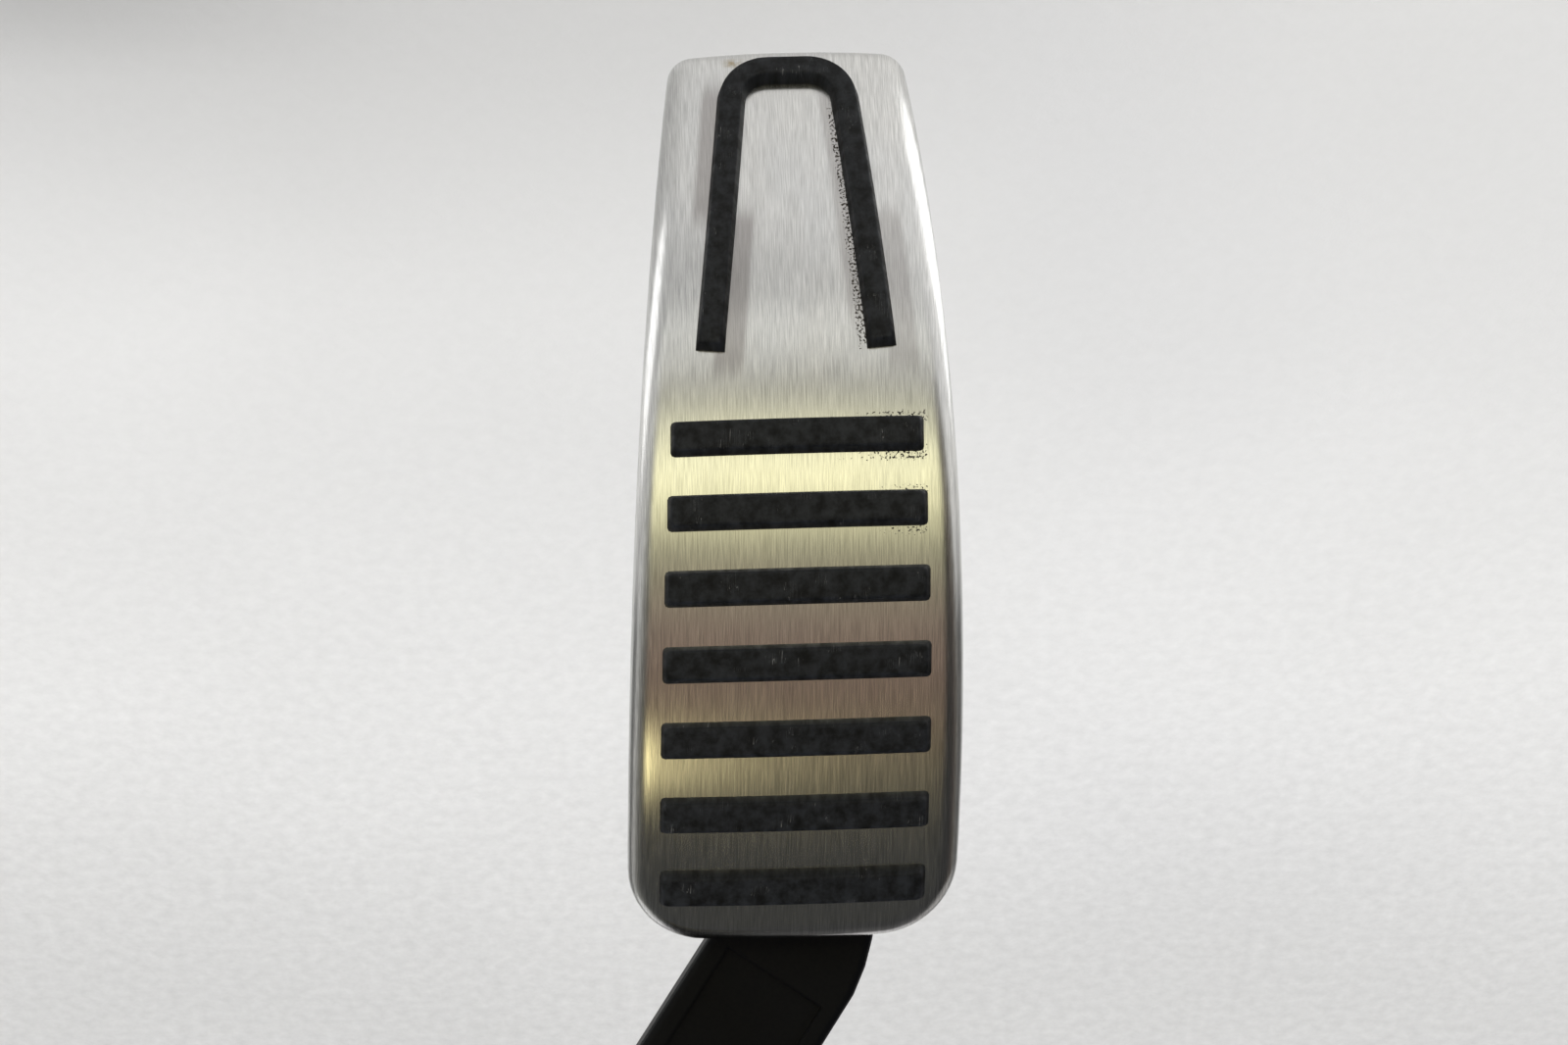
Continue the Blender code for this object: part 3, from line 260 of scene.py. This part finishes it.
def loop_path():
    """(s, w, angle of the outward normal) along the loop's centre line, from leg to leg."""
    half = LOOP_WIDTH / 2
    radius = LOOP_CROWN_RADIUS - half
    crown_w = LOOP_CROWN_HALF_WIDTH - LOOP_CROWN_RADIUS
    crown_s = LOOP_END - half - radius
    mouth_w = LOOP_MOUTH_HALF_WIDTH - half
    side = Vector((LOOP_START - crown_s, mouth_w - crown_w))
    turn = math.atan2(side.y, side.x) - math.pi / 2 + math.asin(radius / side.length)
    path = []
    for angle in spread(turn, 0.0, 15):
        path.append((crown_s + radius * math.cos(angle), crown_w + radius * math.sin(angle), angle))
    leg = []
    for share in spread(0.0, 1.0, 16)[:-1]:
        s = LOOP_START + (path[0][0] - LOOP_START) * share
        leg.append((s, mouth_w + (path[0][1] - mouth_w) * share, turn))
    right = leg + path
    return right + [(s, -w, -angle) for s, w, angle in reversed(right)]


def make_loop():
    """The loop tread: its section swept along its centre line, with drafted leg ends."""
    path = loop_path()
    grids = []
    for grow, lift in tread_heights():
        half = LOOP_WIDTH / 2 + grow
        grid = []
        for k, (s, w, angle) in enumerate(path):
            stretch = -grow if k in (0, len(path) - 1) else 0.0
            row = []
            for side in (half, half / 3, -half / 3, -half):
                row.append((s + stretch + math.cos(angle) * side, w + math.sin(angle) * side, lift))
            grid.append(row)
        grids.append(grid)
    return stack("grip_loop_rubber", grids)


# ---------------------------------------------------------------- node helpers


NOISE_LOW, NOISE_HIGH = 0.3, 0.7  # nearly all of a noise's values lie between these


class Graph:
    """Short names for building a material's nodes."""

    def __init__(self, name):
        self.material = bpy.data.materials.new(name)
        self.material.use_nodes = True
        self.tree = self.material.node_tree
        self.shader = self.tree.nodes["Principled BSDF"]

    def node(self, kind, values=None, links=None, **settings):
        made = self.tree.nodes.new("ShaderNode" + kind)
        for key, value in settings.items():
            setattr(made, key, value)
        for key, value in (values or {}).items():
            made.inputs[key].default_value = value
        for key, source in (links or {}).items():
            self.tree.links.new(source, made.inputs[key])
        return made

    def link(self, source, socket):
        """Feeds a socket of the shader."""
        self.tree.links.new(source, self.shader.inputs[socket])

    def set(self, **values):
        """Sets constants on the shader, with _ for each space in a name."""
        for key, value in values.items():
            self.shader.inputs[key.replace("_", " ")].default_value = value

    def coords(self, scale, uv=False):
        """Object (or flat-map) coordinates, scaled on each axis."""
        if uv:
            source = self.node("UVMap", uv_map="flat").outputs["UV"]
        else:
            source = self.node("TexCoord").outputs["Object"]
        return self.node("Mapping", {"Scale": scale}, {"Vector": source}).outputs["Vector"]

    def noise(self, vector, scale=1.0, detail=2.0, roughness=0.5):
        values = {"Scale": scale, "Detail": detail, "Roughness": roughness}
        return self.node("TexNoise", values, {"Vector": vector}).outputs["Fac"]

    def ramp(self, source, low, high, start=0.0, end=1.0, smooth=True):
        kind = "SMOOTHSTEP" if smooth else "LINEAR"
        values = {"From Min": low, "From Max": high, "To Min": start, "To Max": end}
        made = self.node("MapRange", values, {"Value": source}, interpolation_type=kind)
        return made.outputs["Result"]

    def level(self, noise, start=0.0, end=1.0):
        """A value that goes from start to end over a noise's usual range."""
        return self.ramp(noise, NOISE_LOW, NOISE_HIGH, start, end)

    def math(self, operation, a, b=None):
        """A sum or the like of two values, each a number or a socket."""
        values, links = {}, {}
        for index, item in enumerate((a, b)):
            if item is None:
                continue
            if isinstance(item, (int, float)):
                values[index] = item
            else:
                links[index] = item
        return self.node("Math", values, links, operation=operation).outputs["Value"]

    def times(self, first, *others):
        """The product of any count of values."""
        for other in others:
            first = self.math("MULTIPLY", first, other)
        return first

    def largest(self, first, *others):
        for other in others:
            first = self.math("MAXIMUM", first, other)
        return first

    def shaded(self, colour, shade):
        """A colour, a tuple or a socket, multiplied by a value."""
        values, links = ({0: colour}, {1: shade}) if isinstance(colour, tuple) else ({}, {0: colour, 1: shade})
        return self.node("VectorMath", values, links, operation="MULTIPLY").outputs["Vector"]

    def mix(self, factor, a, b):
        """A mix of two colours, each a tuple or a socket."""
        made = self.node("Mix", data_type="RGBA")
        for socket, item in ((0, factor), (6, a), (7, b)):
            if isinstance(item, tuple):
                made.inputs[socket].default_value = (*item, 1.0)
            elif isinstance(item, (int, float)):
                made.inputs[socket].default_value = item
            else:
                self.tree.links.new(item, made.inputs[socket])
        return made.outputs[2]

    def bump(self, height, strength, distance, rounded=None):
        """Small relief, and with rounded, in metres, edges that catch light as if they had that radius."""
        links = {"Height": height}
        if rounded is not None:
            bevel = self.node("Bevel", {"Radius": rounded}, samples=4)
            links["Normal"] = bevel.outputs["Normal"]
        made = self.node("Bump", {"Strength": strength, "Distance": distance}, links)
        self.link(made.outputs["Normal"], "Normal")


def scratches(graph, vector, turn, width, amount):
    """Short straight marks: crests of a noise stretched along one direction, picked out by a second noise."""
    across, along = 2600.0, 150.0
    stretched = graph.node("Mapping", {"Rotation": (0.0, 0.0, turn), "Scale": (across, along, 1.0)},
                           {"Vector": vector}).outputs["Vector"]
    crest = graph.math("ABSOLUTE", graph.math("SUBTRACT", graph.noise(stretched, 1.0, 0.0), 0.5))
    line = graph.ramp(crest, 0.0, width, 1.0, 0.0)
    place = graph.node("Mapping", {"Location": (turn, 2 * turn, 0.0), "Scale": (190.0, 230.0, 1.0)},
                       {"Vector": vector}).outputs["Vector"]
    picked = graph.ramp(graph.noise(place, 1.0, 2.0), 1.0 - amount, 1.03 - amount)
    return graph.times(line, picked)


def near(graph, value, low, high, soft):
    """1 between low and high, fading to 0 over soft on each side."""
    rise = graph.ramp(value, low - soft, low)
    fall = graph.ramp(value, high, high + soft, 1.0, 0.0)
    return graph.times(rise, fall)


# ---------------------------------------------------------------- materials

# Marks on the pad, in metres on its flat map
LEG_LEAN = 0.086  # how fast the loop's legs close in, per length along the pad
LEG_MIDDLE = 0.0138  # from the middle of the pad to a leg's centre line, at the open end
LEG_INNER = 0.0107  # and to just inside it

# Grime at two bars: how many bars from the last, where along the bar it ends, its strength
BAR_GRIME = [(0, 0.004, 1.0), (1, -0.004, 0.85)]
BAR_GRIME_START = -0.019  # where along the bar it is densest
BAR_GRIME_LIMIT = (-0.0213, -0.0203)  # it stops here, at the bar's end
BAR_GRIME_DEPTHS = (0.0010, 0.0005)  # half its depth at the bar's near and far sides
GRIME_FADE = 0.0012
LEG_GRIME_SIDES = (-0.0006, 0.0004)
LEG_GRIME_ENDS = (0.098, 0.138)

# Strips of painted shade beside the loop's legs: which leg, the strip's two sides measured from the leg's
# middle, its two ends along the pad, how softly those fade, its strength
LEG_SHADE_STRIPS = [
    ("SUBTRACT", (-0.0050, -0.0015), (0.0950, 0.1180), 0.0050, 0.62),
    ("ADD", (-0.0050, -0.0015), (0.0950, 0.1180), 0.0050, 0.42),
    ("SUBTRACT", (0.0015, 0.0038), (0.1220, 0.1420), 0.0060, 0.62),
    ("ADD", (0.0015, 0.0042), (0.1040, 0.1400), 0.0080, 0.45),
]
STRIP_FADE = 0.0012
STAIN_ACROSS = (0.0082, 0.0090, 0.0022)  # its sides and their fade
STAIN_ALONG = (0.1500, 0.1504, 0.0011)

GRIME_COLOUR = (0.035, 0.028, 0.02)
STAIN_COLOUR = (0.36, 0.28, 0.16)
# painted shade: the colour the steel is darkened towards beside the loop's legs
PAINTED_SHADE_COLOUR = (0.30, 0.275, 0.265)
STEEL_COLOURS = (0.715, 0.71, 0.69), (0.69, 0.69, 0.68)
SCUFF_COLOUR = (0.3, 0.3, 0.3)
FLOOR_COLOUR = (0.79, 0.795, 0.81)
FLOOR_MIRRORED = (0.02, 0.02, 0.02)


def from_leg(graph, w, s, operation, half_gap):
    """How far w lies from a line along one of the loop's legs, half_gap from the middle at its open end.

    The operation is SUBTRACT for the leg on the side of larger w, and ADD for the other.
    """
    lean = graph.times(graph.math("SUBTRACT", s, LOOP_START * MM), LEG_LEAN)
    return graph.math(operation, w, graph.math("SUBTRACT", half_gap, lean))


def face_dirt(graph, uv, w, s):
    """Grime left along the inner side of one leg and at one end of the two bars next to the loop."""
    half = (BAR_WIDTH / 2 + TREAD_DRAFT) * MM
    last = (FIRST_BAR_S + (BAR_COUNT - 1) * BAR_PITCH) * MM
    places = []
    for bars_back, end, strength in BAR_GRIME:
        middle = last - bars_back * BAR_PITCH * MM
        across = graph.times(graph.ramp(w, BAR_GRIME_START, end, strength, 0.0),
                             graph.ramp(w, *BAR_GRIME_LIMIT))
        for edge, depth in zip((middle - half, middle + half), BAR_GRIME_DEPTHS):
            places.append(graph.times(across, near(graph, s, edge - depth, edge + depth, GRIME_FADE)))
    inner = from_leg(graph, w, s, "ADD", LEG_INNER)
    places.append(graph.times(near(graph, inner, *LEG_GRIME_SIDES, 0.0009),
                              near(graph, s, *LEG_GRIME_ENDS, 0.006)))
    scaled = graph.node("Mapping", {"Scale": (2300.0, 2300.0, 1.0)}, {"Vector": uv}).outputs["Vector"]
    specks = graph.noise(scaled, 1.0, 3.0, 0.6)
    threshold = graph.math("SUBTRACT", 0.80, graph.times(graph.largest(*places), 0.29))
    return graph.ramp(graph.math("SUBTRACT", specks, threshold), 0.0, 0.05)


def leg_painted_shade(graph, w, s):
    """How much painted shade darkens the steel beside the loop's legs."""
    places = []
    for operation, sides, ends, end_fade, strength in LEG_SHADE_STRIPS:
        beside = near(graph, from_leg(graph, w, s, operation, LEG_MIDDLE), *sides, STRIP_FADE)
        places.append(graph.times(beside, near(graph, s, *ends, end_fade), strength))
    return graph.largest(*places)


def brushed_face():
    """Stainless steel brushed along the pad, with a stain, painted shade in strips beside the loop's legs, and
    grime.
    """
    graph = Graph("brushed_stainless")
    uv = graph.node("UVMap", uv_map="flat").outputs["UV"]
    parts = graph.node("SeparateXYZ", links={"Vector": uv})
    w, s = parts.outputs["X"], parts.outputs["Y"]

    def grain(across, along, roughness=0.5, detail=2.0):
        return graph.noise(graph.coords((across, along, 1.0), uv=True), 1.0, detail, roughness)

    fine = grain(6400.0, 210.0, 0.6)
    lines = grain(3700.0, 90.0, 0.55)
    broad = grain(520.0, 45.0)
    cloud = grain(70.0, 30.0)
    blots = grain(700.0, 900.0, 0.6, 3.0)
    shade = graph.times(graph.level(fine, 0.83, 1.14), graph.level(lines, 0.93, 1.05),
                        graph.level(broad, 0.975, 1.02))
    tone = graph.shaded(graph.mix(graph.ramp(cloud, 0.35, 0.65), *STEEL_COLOURS), shade)
    stain_place = graph.times(near(graph, w, *STAIN_ACROSS), near(graph, s, *STAIN_ALONG))
    stain = graph.times(stain_place, graph.ramp(blots, 0.34, 0.62), 0.85)
    tone = graph.mix(stain, tone, STAIN_COLOUR)
    # painted shade: darker strips on the steel beside the loop's legs
    tone = graph.mix(leg_painted_shade(graph, w, s), tone, PAINTED_SHADE_COLOUR)
    dirt = face_dirt(graph, uv, w, s)
    graph.link(graph.mix(dirt, tone, GRIME_COLOUR), "Base Color")
    graph.link(graph.math("SUBTRACT", 1.0, graph.times(dirt, 0.8)), "Metallic")
    graph.link(graph.math("ADD", graph.level(lines, 0.20, 0.26), graph.times(dirt, 0.4)), "Roughness")
    graph.set(Anisotropic=0.8)
    tangent = graph.node("Tangent", direction_type="UV_MAP", uv_map="flat")
    graph.link(tangent.outputs["Tangent"], "Tangent")
    graph.bump(graph.math("ADD", lines, graph.times(dirt, 2.0)), 0.06, 0.00003)
    return graph.material


def rubber(name, colour):
    """Worn rubber: cloudy, finely grained, with short pale scuffs in two directions."""
    graph = Graph(name)
    uv = graph.node("UVMap", uv_map="flat").outputs["UV"]
    fine = graph.noise(graph.coords((2600.0,) * 3), 1.0, 3.0, 0.6)
    soft = graph.noise(graph.coords((480.0, 420.0, 1.0), uv=True), 1.0, 5.0, 0.68)
    marks = graph.largest(scratches(graph, uv, 0.45, 0.006, 0.40), scratches(graph, uv, -0.6, 0.005, 0.37))
    dark = tuple(0.35 * c for c in colour)
    pale = tuple(2.6 * c for c in colour)
    tone = graph.mix(graph.level(soft), dark, pale)
    graph.link(graph.mix(graph.times(marks, 0.8), tone, SCUFF_COLOUR), "Base Color")
    graph.link(graph.level(soft, 0.64, 0.46), "Roughness")
    graph.set(Specular_IOR_Level=0.24)
    graph.bump(graph.math("ADD", fine, graph.times(marks, 0.8)), 0.2, 0.00006, 0.00025)
    return graph.material


def moulded(name, colour, roughness, texture=0.25, rounded=0.0005, gloss=0.5):
    """A moulded plastic: a fine eroded texture, faint flow marks, and edges that are a little round."""
    graph = Graph(name)
    fine = graph.noise(graph.coords((1700.0,) * 3), 1.0, 4.0, 0.65)
    flow = graph.noise(graph.coords((45.0, 45.0, 20.0)), 1.0, 2.0, 0.5)
    dark = tuple(0.85 * c for c in colour)
    pale = tuple(1.2 * c for c in colour)
    graph.link(graph.mix(graph.level(flow), dark, pale), "Base Color")
    graph.link(graph.level(fine, roughness - 0.07, roughness + 0.09), "Roughness")
    graph.set(Specular_IOR_Level=gloss)
    graph.bump(fine, texture, 0.00008, rounded)
    return graph.material


def metal(name, colour, roughness, grain_scale, rounded=0.0002):
    """A metal with an uneven grain, finer where grain_scale is larger."""
    graph = Graph(name)
    grain = graph.noise(graph.coords(grain_scale), 1.0, 3.0, 0.6)
    dark = tuple(0.8 * c for c in colour)
    graph.link(graph.mix(graph.level(grain), dark, colour), "Base Color")
    graph.link(graph.level(grain, roughness - 0.06, roughness + 0.1), "Roughness")
    graph.set(Metallic=1.0)
    graph.bump(grain, 0.1, 0.00003, rounded)
    return graph.material


def circuit_board():
    """Green lacquer over raised tracks and a faint weave."""
    graph = Graph("circuit_board")
    weave = graph.noise(graph.coords((900.0,) * 3), 1.0, 2.0, 0.5)
    cells = graph.node("TexVoronoi", {"Scale": 260.0}, {"Vector": graph.coords((1.0,) * 3)},
                       feature="DISTANCE_TO_EDGE", distance="EUCLIDEAN")
    track = graph.ramp(cells.outputs["Distance"], 0.02, 0.05, 1.0, 0.0)
    tone = graph.mix(track, (0.012, 0.11, 0.045), (0.02, 0.2, 0.09))
    graph.link(graph.mix(graph.level(weave, 0.0, 0.3), tone, (0.01, 0.07, 0.03)), "Base Color")
    graph.set(Roughness=0.32)
    graph.bump(track, 0.2, 0.00005)
    return graph.material


def pale_floor():
    """A plain pale sheet with a soft mottle, unevenly lit: its brightness drifts over it by up to a quarter.

    Polished edges mirror it darker behind and to the sides than it looks.
    """
    graph = Graph("pale_floor")
    place = graph.node("TexCoord").outputs["Object"]
    parts = graph.node("SeparateXYZ", links={"Vector": place})
    x, y = parts.outputs["X"], parts.outputs["Y"]

    def darken(shade, amount):
        return graph.times(shade, graph.math("SUBTRACT", 1.0, amount))

    mottle = graph.noise(place, 260.0, 3.0, 0.6)
    broad = graph.noise(place, 7.0, 2.0, 0.5)
    contrast = graph.ramp(y, -0.08, 0.24, 0.048, 0.30)
    shade = graph.math("ADD", 1.0, graph.times(graph.math("SUBTRACT", mottle, 0.5), contrast))
    shade = graph.times(shade, graph.level(broad, 0.975, 1.02))
    side = graph.times(graph.ramp(x, -0.17, 0.12, 0.02, 0.23), graph.ramp(y, -0.13, -0.02, 1.0, 0.0))
    shade = darken(shade, side)
    shade = graph.math("ADD", shade, graph.ramp(y, -0.30, -0.16, 0.14, 0.0))
    shade = graph.math("SUBTRACT", shade, graph.ramp(y, -1.5, -0.8, 0.22, 0.0))
    shade = graph.times(shade, graph.ramp(y, 0.10, 0.27, 1.0, 0.84))
    corner = graph.times(graph.ramp(x, 0.03, 0.12), graph.ramp(y, -0.125, -0.095, 0.18, 0.0))
    tone = graph.shaded(FLOOR_COLOUR, darken(shade, corner))
    behind = graph.times(graph.ramp(graph.math("ABSOLUTE", x), 0.30, 0.50), graph.ramp(y, -0.15, 0.10))
    mirrored = graph.times(behind, graph.node("LightPath").outputs["Is Glossy Ray"], 0.88)
    graph.link(graph.mix(mirrored, tone, FLOOR_MIRRORED), "Base Color")
    graph.set(Roughness=0.75, Specular_IOR_Level=0.0)
    graph.bump(mottle, 0.15, 0.001)
    return graph.material


# ---------------------------------------------------------------- dressing


SHARP_ANGLE = 35.0  # edges that turn by more than this many degrees stay sharp


def dress(piece, material):
    piece.data.materials.clear()
    piece.data.materials.append(material)


def build_pad(looks):
    """The finely made steel face and treads, in place of their CAD nodes."""
    face = make_steel_face()
    dress(face, looks["steel_face"])
    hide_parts("steel_face")
    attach(face, "pedal")
    treads = [(make_loop(), "grip_loop")]
    treads += [(make_bar(index), f"grip_bar_{index + 1}") for index in range(BAR_COUNT)]
    for piece, node in treads:
        dress(piece, looks["rubber"])
        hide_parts(node)
        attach(piece, "pedal")


def dress_nodes(looks):
    """Gives every CAD node the material of its slot in the record, and the arm a duller nylon of its own."""
    slots = {row["node"]: row["material_slot"] for row in frame["record"]["subparts"]}
    for node, piece in frame["nodes"].items():
        dress(piece, looks["arm" if node == "pedal_arm" else slots[node]])
        piece.data.shade_smooth()
        piece.data.set_sharp_from_angle(angle=math.radians(SHARP_ANGLE))


def make_looks():
    return {
        "steel_face": brushed_face(),
        "rubber": rubber("black_rubber", (0.0069, 0.0078, 0.0096)),
        "nylon": moulded("glass_filled_nylon", (0.0085, 0.0087, 0.0092), 0.42),
        "arm": moulded("arm_nylon", (0.0024, 0.0027, 0.0036), 0.55, 0.35, 0.0006, 0.16),
        "carrier": moulded("carrier_plastic", (0.02, 0.02, 0.021), 0.5),
        "steel": metal("zinc_plated_steel", (0.62, 0.62, 0.6), 0.3, (900.0, 900.0, 900.0)),
        "spring": metal("spring_steel", (0.3, 0.3, 0.31), 0.35, (600.0, 600.0, 600.0), 0.0001),
        "bronze": metal("sintered_bronze", (0.5, 0.33, 0.15), 0.48, (1500.0, 1500.0, 1500.0)),
        "acetal": moulded("natural_acetal", (0.7, 0.68, 0.6), 0.4, 0.1),
        "board": circuit_board(),
        "chip": moulded("chip_package", (0.015, 0.015, 0.016), 0.5, 0.2, 0.0001),
        "magnet": metal("ferrite_magnet", (0.12, 0.12, 0.125), 0.5, (1800.0, 1800.0, 1800.0)),
        "brass": metal("tinned_brass", (0.74, 0.66, 0.45), 0.28, (900.0, 900.0, 200.0), 0.0001),
    }


# ---------------------------------------------------------------- stage, light and camera

FLOOR_Z = -0.33
CAMERA_PLACE = Vector((-0.0330, -0.5643, 0.2029))
CAMERA_RIGHT = Vector((-0.99997, -0.00073, 0.00722))
CAMERA_UP = Vector((-0.00495, -0.65968, -0.75153))
CAMERA_LENS = 77.1  # millimetres, for a sensor 36 mm wide
FLOOR_HALF_SIZE = 6.0


def make_camera():
    data = bpy.data.cameras.new("camera")
    data.lens = CAMERA_LENS
    data.sensor_width = 36.0
    data.clip_start = 0.01
    camera = bpy.data.objects.new("camera", data)
    bpy.context.scene.collection.objects.link(camera)
    right = CAMERA_RIGHT.normalized()
    back = right.cross(CAMERA_UP).normalized()
    up = back.cross(right)
    turn = Matrix((right, up, back)).transposed().to_4x4()
    camera.matrix_world = Matrix.Translation(CAMERA_PLACE) @ turn
    bpy.context.scene.camera = camera


def make_floor():
    bm = bmesh.new()
    bmesh.ops.create_grid(bm, x_segments=1, y_segments=1, size=FLOOR_HALF_SIZE)
    mesh = bpy.data.meshes.new("floor")
    bm.to_mesh(mesh)
    bm.free()
    floor = bpy.data.objects.new("floor", mesh)
    floor.location = (0.0, 0.0, FLOOR_Z)
    bpy.context.scene.collection.objects.link(floor)
    dress(floor, pale_floor())


# What the pad mirrors: the room over the driver's side by height above the horizon, in degrees, and over
# either flank by the sine of that height
ROOM = [
    (-10.0, (0.62, 0.61, 0.58)),
    (-1.0, (1.15, 1.15, 1.10)),
    (7.0, (0.42, 0.41, 0.375)),
    (13.0, (0.95, 0.92, 0.66)),
    (19.0, (1.75, 1.67, 1.05)),
    (24.0, (1.10, 1.04, 0.64)),
    (29.5, (0.40, 0.38, 0.255)),
    (40.0, (0.29, 0.215, 0.172)),
    (50.0, (0.20, 0.138, 0.105)),
    (56.0, (0.175, 0.14, 0.095)),
    (63.0, (0.10, 0.092, 0.07)),
    (70.0, (0.06, 0.06, 0.056)),
    (110.0, (0.06, 0.06, 0.06)),
    (150.0, (0.12, 0.118, 0.118)),
    (165.0, (0.62, 0.60, 0.61)),
    (180.0, (0.70, 0.69, 0.70)),
]
LEFT_FLANK = [
    (-0.10, (1.10, 1.10, 1.10)),
    (0.05, (0.60, 0.60, 0.58)),
    (0.30, (0.22, 0.215, 0.20)),
    (0.60, (0.07, 0.07, 0.065)),
    (1.0, (0.06, 0.06, 0.06)),
]
RIGHT_FLANK = [
    (-0.10, (0.66, 0.66, 0.65)),
    (0.04, (0.22, 0.21, 0.19)),
    (0.18, (0.10, 0.08, 0.07)),
    (0.45, (0.035, 0.035, 0.035)),
    (1.0, (0.05, 0.05, 0.05)),
]
# Between which sideways parts of a direction the flanks take over from the room
LEFT_FADE = (0.35, 0.72)
RIGHT_FADE = (0.25, 0.62)
# A warm window high on the left: the heights between which it comes and goes, and between which sideways parts
GLOW_START = (53.0, 57.0)
GLOW_END = (60.5, 63.5)
GLOW_SIDE = (0.14, 0.27)
GLOW = (2.6, 2.25, 1.15)
BACKDROP = (0.70, 0.695, 0.70)  # what the camera sees past the floor

# Name, direction it comes from, strength, width in degrees
SUNS = [
    ("top", (0.25, 0.45, 1.0), 2.5, 70.0),
    ("rear", (0.8, 0.9, 0.55), 0.7, 60.0),
    ("front", (-0.6, -0.8, 0.6), 0.35, 60.0),
]
# Name, place, what it faces, size, radiance: the low ones lie just over the floor and face up
LOW = FLOOR_Z + 0.01
PANELS = [
    ("rear_left", (1.0, 1.3, 0.3), (0.0, 0.0, -0.05), (0.8, 1.0), 0.45),
    ("rear_right", (-1.2, 1.1, 0.2), (0.0, 0.0, -0.05), (0.8, 1.0), 0.30),
    ("low_left", (0.42, -0.32, LOW), (0.42, -0.32, 1.0), (0.36, 0.42), 1.2),
    ("low_right", (-0.27, -0.24, LOW), (-0.27, -0.24, 1.0), (0.20, 0.32), 1.0),
]


def make_world():
    """Surroundings that give light and are mirrored: dim overhead, with a bright warm band low in front."""
    world = bpy.data.worlds.new("studio")
    bpy.context.scene.world = world
    world.use_nodes = True
    tree = world.node_tree

    def node(kind, links=None, values=None, **settings):
        made = tree.nodes.new("ShaderNode" + kind)
        for key, value in settings.items():
            setattr(made, key, value)
        for key, value in (values or {}).items():
            made.inputs[key].default_value = value
        for key, source in (links or {}).items():
            tree.links.new(source, made.inputs[key])
        return made

    def ramp(source, low, high):
        return node("MapRange", {"Value": source}, {"From Min": low, "From Max": high},
                    interpolation_type="SMOOTHSTEP").outputs["Result"]

    def colours(source, rows):
        """The colour that rows of (value, colour) give at the source's value."""
        low, high = rows[0][0], rows[-1][0]
        share = node("MapRange", {"Value": source}, {"From Min": low, "From Max": high}).outputs["Result"]
        made = node("ValToRGB", {"Fac": share})
        stops = made.color_ramp.elements
        stops[0].color = (*rows[0][1], 1.0)
        stops[1].color = (*rows[-1][1], 1.0)
        for place, colour in rows[1:-1]:
            stops.new((place - low) / (high - low)).color = (*colour, 1.0)
        return made.outputs["Color"]

    def mix(factor, a, b):
        made = node("Mix", {0: factor, 6: a}, data_type="RGBA")
        if isinstance(b, tuple):
            made.inputs[7].default_value = (*b, 1.0)
        else:
            tree.links.new(b, made.inputs[7])
        return made.outputs[2]

    way = node("TexCoord").outputs["Generated"]
    parts = node("SeparateXYZ", {0: way})
    x, y, z = parts.outputs
    ahead = node("Math", {0: y}, {1: -1.0}, operation="MULTIPLY").outputs[0]
    height = node("Math", {0: z, 1: ahead}, operation="ARCTAN2").outputs[0]
    degrees = node("Math", {0: height}, operation="DEGREES").outputs[0]
    room = colours(degrees, ROOM)
    window = node("Math", {0: ramp(degrees, *GLOW_START), 1: ramp(degrees, *GLOW_END)}, operation="SUBTRACT")
    glow = node("Math", {0: window.outputs[0], 1: ramp(x, *GLOW_SIDE)}, operation="MULTIPLY").outputs[0]
    room = mix(glow, room, GLOW)
    room = mix(ramp(x, *LEFT_FADE), room, colours(z, LEFT_FLANK))
    rightwards = node("Math", {0: x}, {1: -1.0}, operation="MULTIPLY").outputs[0]
    room = mix(ramp(rightwards, *RIGHT_FADE), room, colours(z, RIGHT_FLANK))
    seen = mix(node("LightPath").outputs["Is Camera Ray"], room, BACKDROP)
    tree.links.new(seen, tree.nodes["Background"].inputs["Color"])


def sun_light(name, place, strength, spread_degrees):
    """A broad even light from a direction: it lights surfaces, and nothing mirrors it."""
    data = bpy.data.lights.new(name, "SUN")
    data.energy = strength
    data.angle = math.radians(spread_degrees)
    light = bpy.data.objects.new(name, data)
    light.rotation_euler = Vector(place).to_track_quat("Z", "Y").to_euler()
    light.visible_glossy = False
    bpy.context.scene.collection.objects.link(light)


def softbox(name, place, target, size, radiance):
    """A panel that surfaces mirror, but that lights nothing."""
    data = bpy.data.lights.new(name, "AREA")
    data.shape = "RECTANGLE"
    data.size, data.size_y = size
    data.energy = radiance * math.pi * size[0] * size[1]
    light = bpy.data.objects.new(name, data)
    light.location = place
    light.rotation_euler = (Vector(target) - Vector(place)).to_track_quat("-Z", "Y").to_euler()
    light.visible_diffuse = False
    light.visible_camera = False
    bpy.context.scene.collection.objects.link(light)


def make_lights():
    for row in SUNS:
        sun_light(*row)
    for row in PANELS:
        softbox(*row)


looks = make_looks()
dress_nodes(looks)
build_pad(looks)
make_floor()
make_world()
make_lights()
make_camera()
bpy.context.scene.view_settings.view_transform = "Standard"
